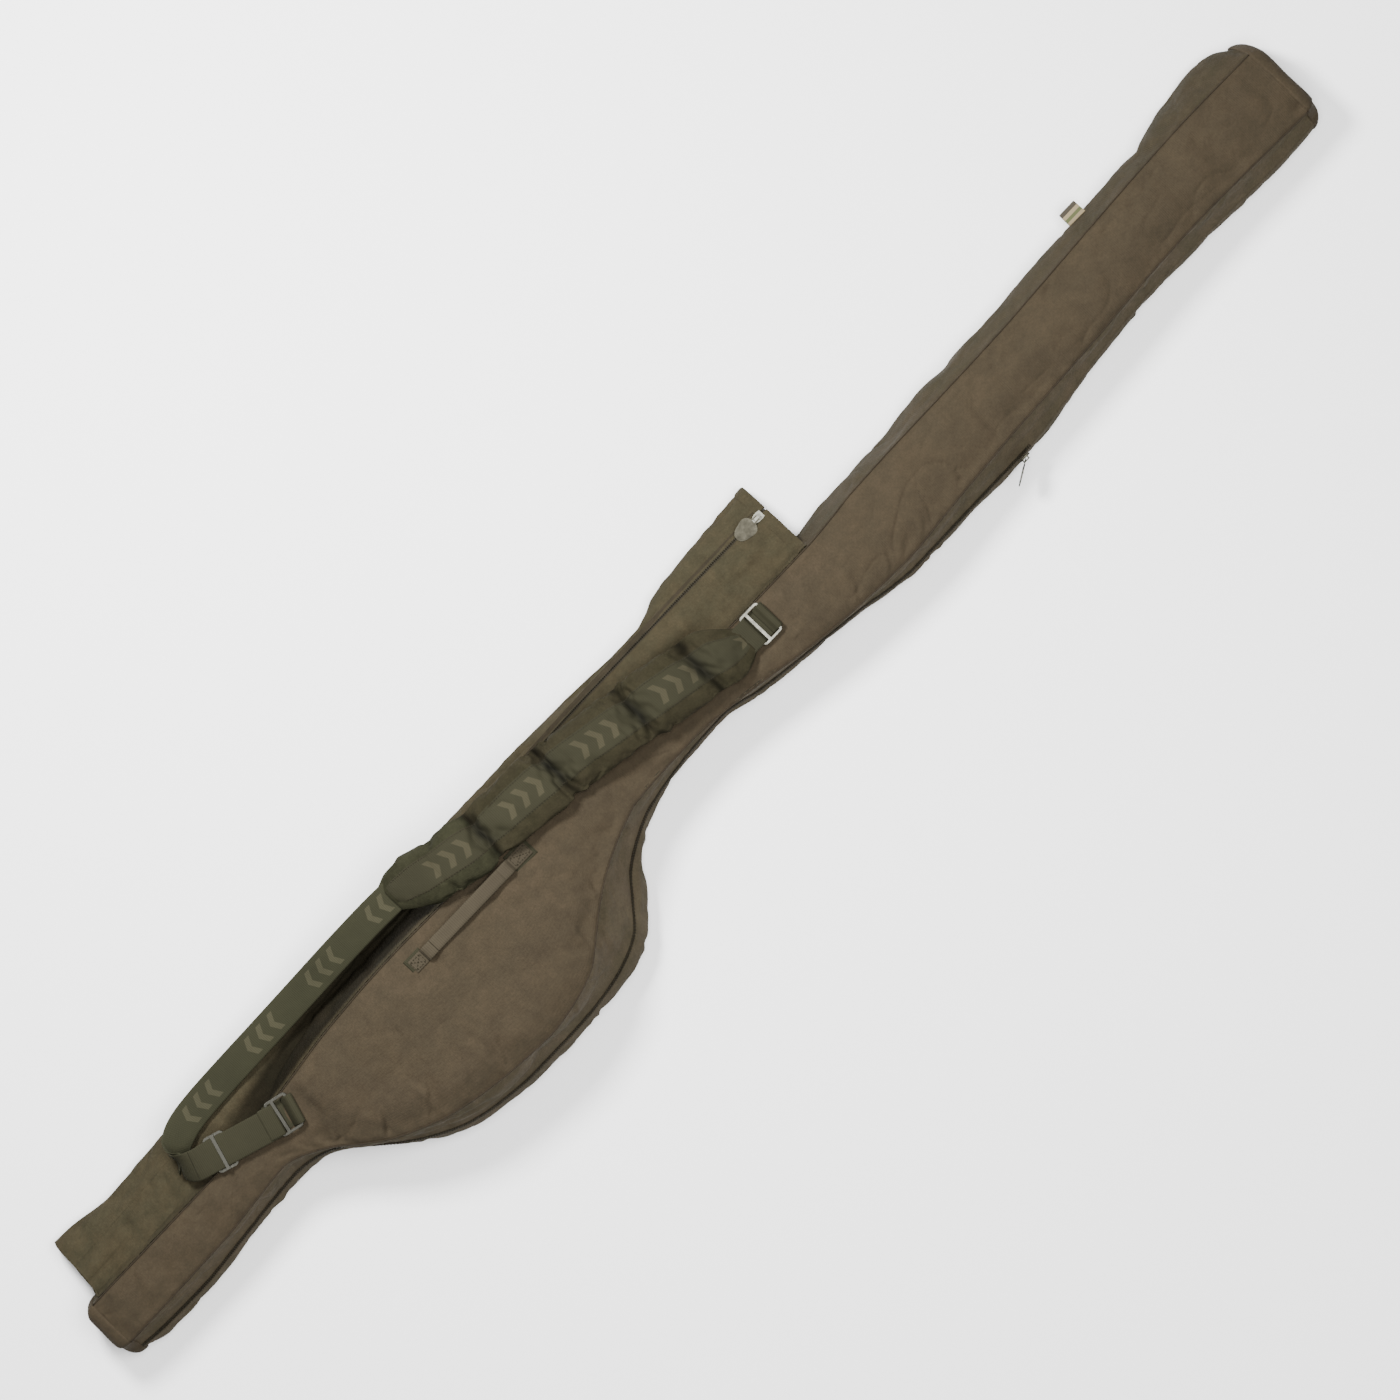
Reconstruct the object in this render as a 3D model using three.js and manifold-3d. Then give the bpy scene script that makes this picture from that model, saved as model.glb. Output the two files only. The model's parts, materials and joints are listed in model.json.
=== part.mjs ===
// A soft fishing rod case for two-piece 12 ft rods. It lies on its back on a flat surface.
// Millimetres, +Z up. +X runs from the butt end to the tip end, and +Y points to the outside pocket, so the
// reel bulge and the main zip are on the -Y side. X is laid out from the butt end, and Y from the middle
// of the rod tube. The last lines move the origin to the bottom centre of the whole case.
import * as THREE from "three";
import Module from "manifold-3d";
import { mergeVertices } from "three/addons/utils/BufferGeometryUtils.js";

const wasm = await Module();
wasm.setup();

// ---- Driving dimensions ----
const BUTT_X = 26; // the padded butt cap ends here and the panels start
const TIP_X = 1949; // the panels end here and the padded tip cap starts
const PANEL = 3; // padded fabric panel
const SHEET = 1.6; // unpadded pocket fabric
const FOAM = 5; // closed-cell foam liner
const SEAM = 4; // a panel stops this far from the seam line, to leave room for the piping
const GAP = 0.5; // between neighbouring pieces
const PIPING_R = 1.8;
const FOLD = { y: -55, z: 110, from: 330, to: 858 }; // the line that the reel flap folds about
const ZIP = { tape: 9, thick: 1.4, coil: 1.2, end: 1462 }; // each tape's width and thickness, the coil's height
const SLIDER_X = 1448; // the main slider at rest
const POCKET = { from: 38, mouth: 1199, zipStart: 640 };
const WEBBING = { width: 37, thick: 1.8 };
const PAD_THICK = 12;
const HANDLE = { from: 575, to: 715, y: 20.5, width: 17, thick: 5, rise: 11 };

// ---- Curves along the case ----
// A smooth curve through [x, value] points that never overshoots, so that level stretches stay level.
function curve(points) {
  const slopes = points.slice(1).map(([x, v], i) => (v - points[i][1]) / (x - points[i][0]));
  const tangents = points.map((_, i) => {
    const before = slopes[i - 1];
    const after = slopes[i];
    if (before === undefined || after === undefined) return after ?? before;
    return before * after <= 0 ? 0 : (2 * before * after) / (before + after);
  });
  return (x) => {
    if (x <= points[0][0]) return points[0][1];
    const last = points.length - 1;
    if (x >= points[last][0]) return points[last][1];
    const i = points.findIndex((p) => p[0] > x) - 1;
    const span = points[i + 1][0] - points[i][0];
    const t = (x - points[i][0]) / span;
    const ease = t * t * (3 - 2 * t);
    const start = t * (1 - t) * (1 - t) * tangents[i] * span;
    const end = t * t * (t - 1) * tangents[i + 1] * span;
    return points[i][1] + (points[i + 1][1] - points[i][1]) * ease + start + end;
  };
}

// Height of the front panel above the floor, and of the zip line and the widest line of the sides.
const frontZ = curve([
  [26, 68], [70, 75], [250, 80], [330, 86], [420, 101], [510, 110], [730, 110],
  [820, 97], [900, 86], [1000, 82], [1200, 80], [1700, 78], [1850, 76], [1949, 68],
]);
const zipZ = curve([[26, 38], [250, 40], [400, 50], [500, 54], [720, 54], [850, 44], [950, 40], [1949, 40]]);
const wideZ = curve([[26, 22], [300, 22], [480, 30], [740, 30], [900, 22], [1949, 22]]);

// Seams and outlines across the case: front panel, zip line, widest lines, and pocket.
const frontLeftY = curve([
  [26, 20], [230, 20], [350, 32], [450, 43], [550, 47], [650, 45], [800, 38],
  [950, 30], [1100, 26], [1200, 26], [1300, 33], [1500, 35], [1700, 44], [1850, 49], [1949, 48],
]);
const frontRightY = curve([
  [26, -40], [200, -36], [290, -28], [330, -43], [400, -95], [475, -126], [560, -140], [610, -143],
  [690, -126], [740, -89], [800, -54], [870, -32], [950, -30], [1050, -41], [1150, -58],
  [1280, -66], [1390, -57], [1600, -48], [1760, -40], [1949, -45],
]);
const zipY = curve([
  [26, -53], [120, -56], [200, -50], [290, -44], [330, -52], [400, -108], [470, -148], [550, -161],
  [650, -160], [700, -154], [750, -135], [800, -80], [870, -48], [1000, -36], [1050, -47],
  [1200, -68], [1270, -79], [1470, -79], [1600, -63], [1700, -57], [1900, -63], [1949, -61],
]);
const rightY = curve([
  [26, -58], [40, -66], [120, -65], [200, -57], [290, -50], [330, -56], [400, -115], [450, -146],
  [500, -161], [585, -171], [700, -166], [750, -150], [800, -104], [830, -76], [870, -54], [920, -42],
  [1000, -38], [1050, -50], [1200, -70], [1270, -84], [1470, -84], [1600, -66], [1700, -60],
  [1800, -62], [1900, -67], [1949, -64],
]);
const leftY = curve([
  [26, 27], [230, 30], [350, 46], [550, 62], [650, 60], [800, 52], [1000, 42], [1100, 40], [1210, 44],
  [1400, 51], [1600, 56], [1700, 60], [1765, 64], [1850, 78], [1910, 83], [1949, 70],
]);
const backLeftY = (x) => leftY(x) - 9;
const backRightY = (x) => rightY(x) + (x > 330 && x < 860 ? 12 : 9);
const pocketY = curve([
  [38, 102], [60, 101], [130, 92], [240, 100], [400, 104], [800, 108], [900, 106], [990, 101],
  [1050, 115], [1199, 127],
]);
const pocketZipY = curve([[38, 64], [240, 72], [640, 82], [940, 90], [1199, 90]]);
const pocketZ = curve([[38, 38], [240, 44], [640, 46], [1199, 46]]);
const valleyY = (x) => frontLeftY(x) + curve([[38, 12], [230, 14], [400, 24], [700, 24], [1199, 22]])(x);
const valleyZ = curve([[38, 54], [230, 56], [380, 47], [700, 47], [900, 50], [1100, 60], [1199, 62]]);

// ---- Stations: close together where the outline turns ----
const STATIONS = [
  26, 60, 120, 190, 250, 290, 310, 330, 350, 375, 400, 430, 470, 510, 560, 610, 650, 690, 720, 750, 775,
  800, 825, 858, 885, 920, 960, 1000, 1050, 1100, 1150, 1199, 1240, 1275, 1350, 1462, 1530, 1600, 1700,
  1780, 1850, 1900, 1930, 1949,
];
const stationsIn = (from, to) => [from, ...STATIONS.filter((x) => x > from + 4 && x < to - 4), to];

// ---- Solids ----
const vec = (x, y, z) => new THREE.Vector3(x, y, z);

// A closed solid through rings of the same number of points.
function loft(rings) {
  const n = rings[0].length;
  const index = [];
  for (let r = 0; r + 1 < rings.length; r++)
    for (let i = 0; i < n; i++) {
      const a = r * n + i;
      const b = r * n + ((i + 1) % n);
      index.push(a, b, b + n, a, b + n, a + n);
    }
  for (const [r, flip] of [[0, true], [rings.length - 1, false]])
    for (const face of capFaces(rings[r]))
      index.push(...(flip ? [...face].reverse() : face).map((i) => r * n + i));
  const geometry = new THREE.BufferGeometry().setFromPoints(rings.flat());
  geometry.setIndex(index);
  if (signedVolume(geometry) < 0) geometry.setIndex(index.reverse());
  geometry.computeVertexNormals();
  return geometry;
}

// Triangles that close a ring, which may be concave but is nearly flat.
function capFaces(ring) {
  const centre = ring.reduce((sum, p) => sum.add(p), vec(0, 0, 0)).divideScalar(ring.length);
  const normal = vec(0, 0, 0);
  ring.forEach((p, i) => {
    const q = ring[(i + 1) % ring.length];
    normal.add(p.clone().sub(centre).cross(q.clone().sub(centre)));
  });
  normal.normalize();
  const u = (Math.abs(normal.x) < 0.9 ? vec(1, 0, 0) : vec(0, 1, 0)).cross(normal).normalize();
  const v = normal.clone().cross(u);
  const flat = ring.map((p) => new THREE.Vector2(p.dot(u), p.dot(v)));
  return THREE.ShapeUtils.triangulateShape(flat, []);
}

function signedVolume(geometry) {
  const at = geometry.getAttribute("position");
  const index = geometry.index.array;
  const corner = (i) => new THREE.Vector3().fromBufferAttribute(at, index[i]);
  let sum = 0;
  for (let i = 0; i < index.length; i += 3)
    sum += corner(i).dot(corner(i + 1).cross(corner(i + 2))) / 6;
  return sum;
}

// Offsets a line of [y, z] points to its left by a distance.
function offset(line, distance) {
  return line.map(([y, z], i) => {
    const before = line[Math.max(i - 1, 0)];
    const after = line[Math.min(i + 1, line.length - 1)];
    const length = Math.hypot(after[0] - before[0], after[1] - before[1]);
    return [y - ((after[1] - before[1]) / length) * distance, z + ((after[0] - before[0]) / length) * distance];
  });
}

// A panel of cloth: outline(x) gives the outer [y, z] line at each station, with the inside on its left.
function panel(from, to, outline, thick, outset = 0) {
  return loft(
    stationsIn(from, to).map((x) => {
      const outer = offset(outline(x), -outset);
      const inner = offset(outline(x), thick);
      return [...outer, ...inner.reverse()].map(([y, z]) => vec(x, y, z));
    }),
  );
}

// The line between two points, shortened at each end.
function shorten([ya, za], [yb, zb], start, end) {
  const length = Math.hypot(yb - ya, zb - za);
  const at = (s) => [ya + ((yb - ya) * s) / length, za + ((zb - za) * s) / length];
  return [at(start), at(length - end)];
}

// A flat band that follows a path. across(i) is the direction of its width at point i.
function band(path, across, width, thick) {
  return loft(
    path.map((p, i) => {
      const before = path[Math.max(i - 1, 0)];
      const after = path[Math.min(i + 1, path.length - 1)];
      const along = after.clone().sub(before).normalize();
      const side = across(i).clone();
      side.addScaledVector(along, -side.dot(along)).normalize();
      const up = along.clone().cross(side);
      const w = (typeof width === "function" ? width(i) : width) / 2;
      const t = thick / 2;
      return [[-w, -t], [w, -t], [w, t], [-w, t]].map(([a, b]) =>
        p.clone().addScaledVector(side, a).addScaledVector(up, b),
      );
    }),
  );
}

// A round cord of cloth, such as piping, along a path.
function rope(path, radius, sides = 6) {
  return loft(
    path.map((p, i) => {
      const before = path[Math.max(i - 1, 0)];
      const after = path[Math.min(i + 1, path.length - 1)];
      const along = after.clone().sub(before).normalize();
      const side = vec(0, 0, 1).cross(along).normalize();
      const up = along.clone().cross(side);
      return Array.from({ length: sides }, (_, k) => {
        const a = (2 * Math.PI * k) / sides;
        return p.clone().addScaledVector(side, radius * Math.cos(a)).addScaledVector(up, radius * Math.sin(a));
      });
    }),
  );
}

function boxAt(x, y, z, sx, sy, sz) {
  return new THREE.BoxGeometry(sx, sy, sz).translate(x, y, z);
}

// Closed geometries as solids, joined into one or cut from one another.
function solid(geometry) {
  const bare = geometry.clone();
  bare.deleteAttribute("normal");
  bare.deleteAttribute("uv");
  const merged = mergeVertices(bare, 1e-4);
  return new wasm.Manifold(
    new wasm.Mesh({
      numProp: 3,
      vertProperties: new Float32Array(merged.getAttribute("position").array),
      triVerts: new Uint32Array(merged.index.array),
    }),
  );
}
function geometryOf(manifold) {
  const mesh = manifold.getMesh();
  const geometry = new THREE.BufferGeometry();
  geometry.setAttribute("position", new THREE.BufferAttribute(new Float32Array(mesh.vertProperties), 3));
  geometry.setIndex(new THREE.BufferAttribute(new Uint32Array(mesh.triVerts), 1));
  geometry.computeVertexNormals();
  return geometry;
}
const join = (...geometries) => geometryOf(geometries.map(solid).reduce((a, b) => a.add(b)));
const cut = (from, ...geometries) =>
  geometryOf(geometries.map(solid).reduce((a, b) => a.subtract(b), solid(from)));

// ---- Materials ----
const finish = (color, roughness, metalness = 0) => new THREE.MeshStandardMaterial({ color, roughness, metalness });
const SHELL_CLOTH = finish(0x615543, 0.85);
const TRIM_CLOTH = finish(0x4b4534, 0.85);
const LINING = finish(0x2c2a22, 0.9);
const FOAM_GREY = finish(0x3a3a36, 0.95);
const STRAP_WEB = finish(0x56563f, 0.8);
const PAD_CLOTH = finish(0x514a37, 0.85);
const ZIP_NYLON = finish(0x35321f, 0.6);
const STEEL = finish(0xb9b8a8, 0.3, 1);
const DARK_METAL = finish(0x4a4a42, 0.4, 1);
const TAG_CLOTH = finish(0x9a9470, 0.8);

const model = new THREE.Group();
function add(name, geometry, material, parent = model) {
  const mesh = new THREE.Mesh(geometry, material);
  mesh.name = name;
  parent.add(mesh);
  return mesh;
}

// ---- Rod tube: back, sides, front and ends ----
const corners = {
  frontLeft: (x) => [frontLeftY(x), frontZ(x)],
  frontRight: (x) => [frontRightY(x), frontZ(x)],
  zip: (x) => [zipY(x), zipZ(x)],
  right: (x) => [rightY(x), wideZ(x)],
  backRight: (x) => [backRightY(x), 0],
  backLeft: (x) => [backLeftY(x), 0],
  left: (x) => [leftY(x), wideZ(x)],
};
const FLOOR_CLEAR = PANEL + GAP; // the sides stand on the back panel

function rodTube() {
  const back = (x) => [[backRightY(x), 0], [backLeftY(x), 0]];
  add("back_panel", panel(BUTT_X, TIP_X, back, PANEL), SHELL_CLOTH);
  const leftWall = (x) => {
    const [top] = shorten(corners.frontLeft(x), corners.left(x), SEAM, 0);
    return [[backLeftY(x), FLOOR_CLEAR], corners.left(x), top];
  };
  const lengths = [
    ["butt", BUTT_X, FOLD.from], ["reel", FOLD.from, FOLD.to], ["pocket", FOLD.to, 1275], ["tip", 1275, TIP_X],
  ];
  for (const [name, from, to] of lengths) {
    add("left_gusset_" + name, panel(from + (from > BUTT_X ? GAP : 0), to, leftWall, PANEL), SHELL_CLOTH);
  }
  const lowerWall = (x) => {
    const [top] = shorten(corners.zip(x), corners.right(x), ZIP.tape, 0);
    return [top, corners.right(x), [backRightY(x), FLOOR_CLEAR]];
  };
  add("right_lower_gusset", panel(BUTT_X, TIP_X, lowerWall, PANEL), SHELL_CLOTH);
  add("right_upper_gusset_butt", panel(BUTT_X, FOLD.from - GAP, upperWall, PANEL), SHELL_CLOTH);
  add("right_upper_gusset_tip", panel(FOLD.to + GAP, TIP_X, upperWall, PANEL), SHELL_CLOTH);
  add("front_panel_butt", panel(BUTT_X, FOLD.from - GAP, fixedFront, PANEL), SHELL_CLOTH);
  add("front_panel_tip", panel(FOLD.from, TIP_X, fixedFront, PANEL), SHELL_CLOTH);
  add("front_piping_left", rope(seamPath(frontLeftY, BUTT_X, TIP_X), PIPING_R), TRIM_CLOTH);
  add("front_piping_butt", rope(seamPath(frontRightY, BUTT_X, FOLD.from - GAP), PIPING_R), TRIM_CLOTH);
  add("front_piping_tip", rope(seamPath(frontRightY, FOLD.to + GAP, TIP_X), PIPING_R), TRIM_CLOTH);
  add("butt_cap", endCap([[BUTT_X - GAP, 1], [16, 0.96], [9, 0.85], [5, 0.66]]), SHELL_CLOTH);
  add("tip_cap", endCap([[TIP_X + GAP, 1], [1960, 0.93], [1967, 0.8], [1969, 0.62]]), SHELL_CLOTH);
}

function upperWall(x) {
  const line = shorten(corners.frontRight(x), corners.zip(x), SEAM, ZIP.tape);
  return line;
}

// The part of the front panel that stays: it stops at the fold line beside the reel flap.
function fixedFront(x) {
  const right = Math.max(frontRightY(x) + SEAM, x > FOLD.from && x < FOLD.to ? FOLD.y + GAP : -Infinity);
  return [[frontLeftY(x) - SEAM, frontZ(x)], [right, frontZ(x)]];
}

function seamPath(seamY, from, to) {
  return stationsIn(from, to).map((x) => vec(x, seamY(x), frontZ(x) - 1));
}

// A padded end: the tube's outline, shrunk towards its middle at each [x, scale].
function endCap(steps) {
  const x = steps[0][0];
  const order = ["frontLeft", "frontRight", "zip", "right", "backRight", "backLeft", "left"];
  const outline = order.map((k) => corners[k](x));
  const middle = [(leftY(x) + rightY(x)) / 2, frontZ(x) / 2];
  return loft(
    steps.map(([at, scale]) =>
      outline.map(([y, z]) => vec(at, middle[0] + (y - middle[0]) * scale, middle[1] + (z - middle[1]) * scale)),
    ),
  );
}

// ---- Reel flap: the part of the front that the zip lets fold back ----
const FLAP_FROM = 354;
const FLAP_TO = 794;
function reelFlap() {
  const top = (x) => [[FOLD.y - GAP, frontZ(x)], [frontRightY(x) + SEAM, frontZ(x)]];
  add("reel_flap_panel", panel(FLAP_FROM, FLAP_TO, top, PANEL), SHELL_CLOTH);
  add("reel_flap_gusset", panel(FOLD.from + GAP, FOLD.to - GAP, upperWall, PANEL), SHELL_CLOTH);
  add("reel_flap_piping", rope(seamPath(frontRightY, FOLD.from + GAP, FOLD.to - GAP), PIPING_R), TRIM_CLOTH);
  const foam = (x) => {
    const z = frontZ(x) - PANEL - GAP;
    return [[FOLD.y - GAP - FOAM, z], [frontRightY(x) + SEAM + FOAM, z]];
  };
  add("reel_flap_foam", panel(376, 766, foam, FOAM), FOAM_GREY);
}

// ---- Main zip: two halves, and a slider with its pull ----
// Half a zip: a tape with the coil as a bead along its inner edge. The coil stands out on the side of hint.
function zipHalf(from, to, line, towards, hint) {
  return loft(
    stationsIn(from, to).map((x) => {
      const [y, z] = line(x);
      const [ty, tz] = towards(x);
      const length = Math.hypot(ty - y, tz - z);
      const [dy, dz] = [(ty - y) / length, (tz - z) / length];
      const flip = -dz * hint[0] + dy * hint[1] > 0 ? 1 : -1;
      const [ny, nz] = [-dz * flip, dy * flip];
      const { tape, thick, coil } = ZIP;
      const near = GAP / 2;
      return [
        [near, coil], [near + 2, coil], [near + 2.4, 0], [tape - GAP, 0], [tape - GAP, -thick], [near, -thick],
      ].map(([s, n]) => vec(x, y + dy * s + ny * n, z + dz * s + nz * n));
    }),
  );
}
function mainZip() {
  const upper = (from, to) => zipHalf(from, to, corners.zip, corners.frontRight, [-1, 0]);
  add("main_zip_lower_half", zipHalf(BUTT_X, ZIP.end, corners.zip, corners.right, [-1, 0]), ZIP_NYLON);
  add("main_zip_upper_half_butt", upper(BUTT_X, FOLD.from - GAP), ZIP_NYLON);
  add("reel_flap_zip_half", upper(FOLD.from + GAP, FOLD.to - GAP), ZIP_NYLON);
  add("main_zip_upper_half_tip", upper(FOLD.to + GAP, ZIP.end), ZIP_NYLON);
}

// A slider lying flat at the origin, its zip along X and its bridge on +Z.
function sliderBody() {
  const outline = new THREE.Shape();
  outline.moveTo(-7, -3.2);
  outline.quadraticCurveTo(0, -6.4, 7, -4.6);
  outline.lineTo(7, 4.6);
  outline.quadraticCurveTo(0, 6.4, -7, 3.2);
  const plate = new THREE.ExtrudeGeometry(outline, { depth: 2, bevelEnabled: false, curveSegments: 4 });
  const posts = [-4, 3.2].map((x) => boxAt(x, 0, 3.2, 1.4, 3, 2.8));
  return join(plate, ...posts, boxAt(-0.4, 0, 4.9, 8.6, 3, 1.2));
}

// A flat pull tab that runs from its eye at the origin along -X.
function pullTab(length, width, thick) {
  const eye = 3.4;
  const outline = new THREE.Shape();
  outline.moveTo(0.7, -eye);
  outline.lineTo(-6, -eye);
  outline.quadraticCurveTo(-9, -width * 0.72, -length * 0.62, -width / 2);
  outline.quadraticCurveTo(-length, -width * 0.42, -length, 0);
  outline.quadraticCurveTo(-length, width * 0.42, -length * 0.62, width / 2);
  outline.quadraticCurveTo(-9, width * 0.72, -6, eye);
  outline.lineTo(0.7, eye);
  const plate = new THREE.ExtrudeGeometry(outline, { depth: thick, bevelEnabled: false, curveSegments: 5 });
  return cut(plate.translate(0, 0, -thick / 2), boxAt(-3.85, 0, 0, 6.3, 4, 3));
}

function mainSlider() {
  const side = new THREE.Group();
  side.position.set(SLIDER_X, zipY(SLIDER_X) - ZIP.coil - GAP * 2 - 0.6, zipZ(SLIDER_X));
  side.rotation.set(Math.PI / 2, 0, 0);
  model.add(side);
  add("main_zip_slider", sliderBody(), DARK_METAL, side);
  const pull = new THREE.Group();
  pull.position.set(MAIN_PULL.x, MAIN_PULL.y, MAIN_PULL.z);
  pull.rotation.set(Math.PI / 2, 0, THREE.MathUtils.degToRad(MAIN_PULL.out), "ZYX");
  model.add(pull);
  add("main_zip_pull", pullTab(32, 15, 1), DARK_METAL, pull);
}
const MAIN_PULL = {
  x: SLIDER_X - 0.4,
  y: zipY(SLIDER_X) - ZIP.coil - GAP * 2 - 0.6 - 3.15,
  z: zipZ(SLIDER_X),
  out: 30,
};

// ---- Outside pocket: a long sleeve down the left side, open at its mouth ----
function outsidePocket() {
  const half = ZIP.tape + GAP;
  const inner = (x) => [
    [pocketZipY(x) - half, pocketZ(x)],
    [valleyY(x), valleyZ(x)],
    [frontLeftY(x) + SEAM, frontZ(x) - SEAM / 2],
  ].reverse();
  const innerUp = (x) => inner(x).reverse();
  const outer = (x) => [
    [pocketY(x), 18],
    [pocketY(x) - 7, pocketZ(x) * 0.74],
    [pocketZipY(x) + half + SHEET, pocketZ(x)],
  ];
  const back = (x) => [[backLeftY(x) + 3, 0], [pocketY(x) - 20, 0], [pocketY(x), 14]];
  add("pocket_inner_panel", panel(POCKET.from, POCKET.mouth, innerUp, SHEET), SHELL_CLOTH);
  add("pocket_outer_panel", panel(POCKET.from, POCKET.mouth, outer, SHEET), SHELL_CLOTH);
  add("pocket_back_panel", panel(POCKET.from, POCKET.mouth, back, SHEET), SHELL_CLOTH);
  const strip = (a, b) => (x) => [[pocketZipY(x) + b, pocketZ(x)], [pocketZipY(x) + a, pocketZ(x)]];
  add("pocket_seam_tape", panel(POCKET.from, POCKET.zipStart - GAP, strip(-ZIP.tape, ZIP.tape), SHEET), TRIM_CLOTH);
  const zip = (x) => [pocketZipY(x), pocketZ(x)];
  for (const [name, side] of [["inner", -1], ["outer", 1]]) {
    const towards = (x) => [pocketZipY(x) + side * 20, pocketZ(x)];
    add("pocket_zip_" + name + "_half", zipHalf(POCKET.zipStart, POCKET.mouth, zip, towards, [0, 1]), ZIP_NYLON);
  }
  const edge = POCKET.mouth + GAP;
  add("pocket_mouth_inner_binding", panel(edge, edge + 4, innerUp, SHEET), TRIM_CLOTH);
  add("pocket_mouth_outer_binding", panel(edge, edge + 4, outer, SHEET), TRIM_CLOTH);
  add("pocket_mouth_back_binding", panel(edge, edge + 4, back, SHEET), TRIM_CLOTH);
  add("pocket_end_panel", pocketEnd(), SHELL_CLOTH);
}

// The patch that closes the pocket at its butt end.
function pocketEnd() {
  const x = POCKET.from - GAP;
  const outline = [
    [backLeftY(x) + 4, 0], [pocketY(x) - 20, 0], [pocketY(x), 14], [pocketY(x), 18],
    [pocketY(x) - 7, pocketZ(x) * 0.74], [pocketZipY(x), pocketZ(x)], [valleyY(x), valleyZ(x)], [leftY(x) + 2, 46],
    [leftY(x) + 2, 20],
  ];
  return loft([x, x - SHEET].map((at) => outline.map(([y, z]) => vec(at, y, z))));
}

function pocketSlider() {
  const x = POCKET.mouth - 10;
  const slider = add("pocket_zip_slider", sliderBody(), STEEL);
  slider.position.set(x, pocketZipY(x), pocketZ(x) + ZIP.coil + GAP * 2);
  const pull = add("pocket_zip_pull", pullTab(34, 20, 1), STEEL);
  pull.position.set(POCKET_PULL.x, POCKET_PULL.y, POCKET_PULL.z);
}
const POCKET_PULL = {
  x: POCKET.mouth - 10 - 0.4,
  y: pocketZipY(POCKET.mouth - 10),
  z: pocketZ(POCKET.mouth - 10) + ZIP.coil + GAP * 2 + 3.15,
};

// ---- Shoulder strap ----
// Each end of the strap is held by a three-bar buckle on a sewn tab. Built along X, the strap on -X.
// "loop" is how far the webbing that is doubled round the buckle's bar reaches from the buckle's middle.
const BUCKLE = { length: 30, width: 44, bar: 4, thick: 3, slot: 38 };
const ANCHORS = {
  upper: { x: 1103, y: 4, z: 81.6, yaw: 0, pitch: 0, sewn: 44, loop: 24 },
  lower: { x: 336, y: 12, z: 88.6, yaw: -14, pitch: -6, sewn: 20, loop: 44 },
};

function buckleBody() {
  const { length, width, bar, thick, slot } = BUCKLE;
  const bevel = 0.6;
  const plate = new THREE.ExtrudeGeometry(roundedRectangle(length, width, 5), {
    depth: thick - 2 * bevel, bevelThickness: bevel, bevelSize: bevel, bevelOffset: -bevel, bevelSegments: 1,
    curveSegments: 3,
  }).translate(0, 0, bevel);
  const between = (from, to) => boxAt((from + to) / 2, 0, thick / 2, to - from, slot, thick * 2);
  return cut(plate, between(-length / 2 + bar, -6.4), between(-2.8, length / 2 - bar));
}

function roundedRectangle(length, width, r) {
  const [a, b] = [length / 2, width / 2];
  const shape = new THREE.Shape();
  shape.moveTo(-a + r, -b);
  shape.lineTo(a - r, -b);
  shape.absarc(a - r, -b + r, r, -Math.PI / 2, 0);
  shape.absarc(a - r, b - r, r, 0, Math.PI / 2);
  shape.absarc(-a + r, b - r, r, Math.PI / 2, Math.PI);
  shape.absarc(-a + r, -b + r, r, Math.PI, 1.5 * Math.PI);
  return shape;
}

// Webbing that goes round a bar at (x, z): points of the half turn, from below to above.
function aroundBar(x, z, radius, turn) {
  return Array.from({ length: 7 }, (_, i) => {
    const a = -Math.PI / 2 + turn * ((Math.PI * i) / 6);
    return vec(x + radius * Math.cos(a), 0, z + radius * Math.sin(a));
  });
}

function strapAnchor(name) {
  const at = ANCHORS[name];
  const group = new THREE.Group();
  group.position.set(at.x, at.y, at.z);
  group.rotation.set(0, THREE.MathUtils.degToRad(at.pitch), THREE.MathUtils.degToRad(at.yaw), "ZYX");
  model.add(group);
  const frameZ = 6; // the underside of the buckle above the panel
  const barZ = frameZ + BUCKLE.thick / 2;
  const nearX = -BUCKLE.length / 2 + BUCKLE.bar / 2;
  const farX = -nearX;
  const wrap = 3.9;
  const across = () => vec(0, 1, 0);
  add(name + "_buckle", buckleBody().translate(0, 0, frameZ), STEEL, group);
  const tab = [
    vec(-at.sewn, 0, 1.2), vec(4, 0, 1.2), vec(8, 0, 1.7), vec(farX - 1, 0, barZ - wrap),
    ...aroundBar(farX, barZ, wrap, 1).slice(1), vec(farX - 3, 0, barZ + 2.6), vec(farX - 4.4, 0, barZ),
    vec(farX - 5.6, 0, barZ - 2.4),
  ];
  add(name + "_strap_tab", band(tab, across, WEBBING.width, 1.4), STRAP_WEB, group);
  const loop = [
    vec(-at.loop, 0, barZ - wrap), vec(nearX - 2, 0, barZ - wrap), ...aroundBar(nearX, barZ, wrap, 1).slice(1),
    vec(nearX - 3, 0, barZ + wrap), vec(-at.loop, 0, barZ + wrap - 1.4),
  ];
  add(name + "_strap_loop", band(loop, across, WEBBING.width, 1.4), STRAP_WEB, group);
  return group;
}

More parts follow.
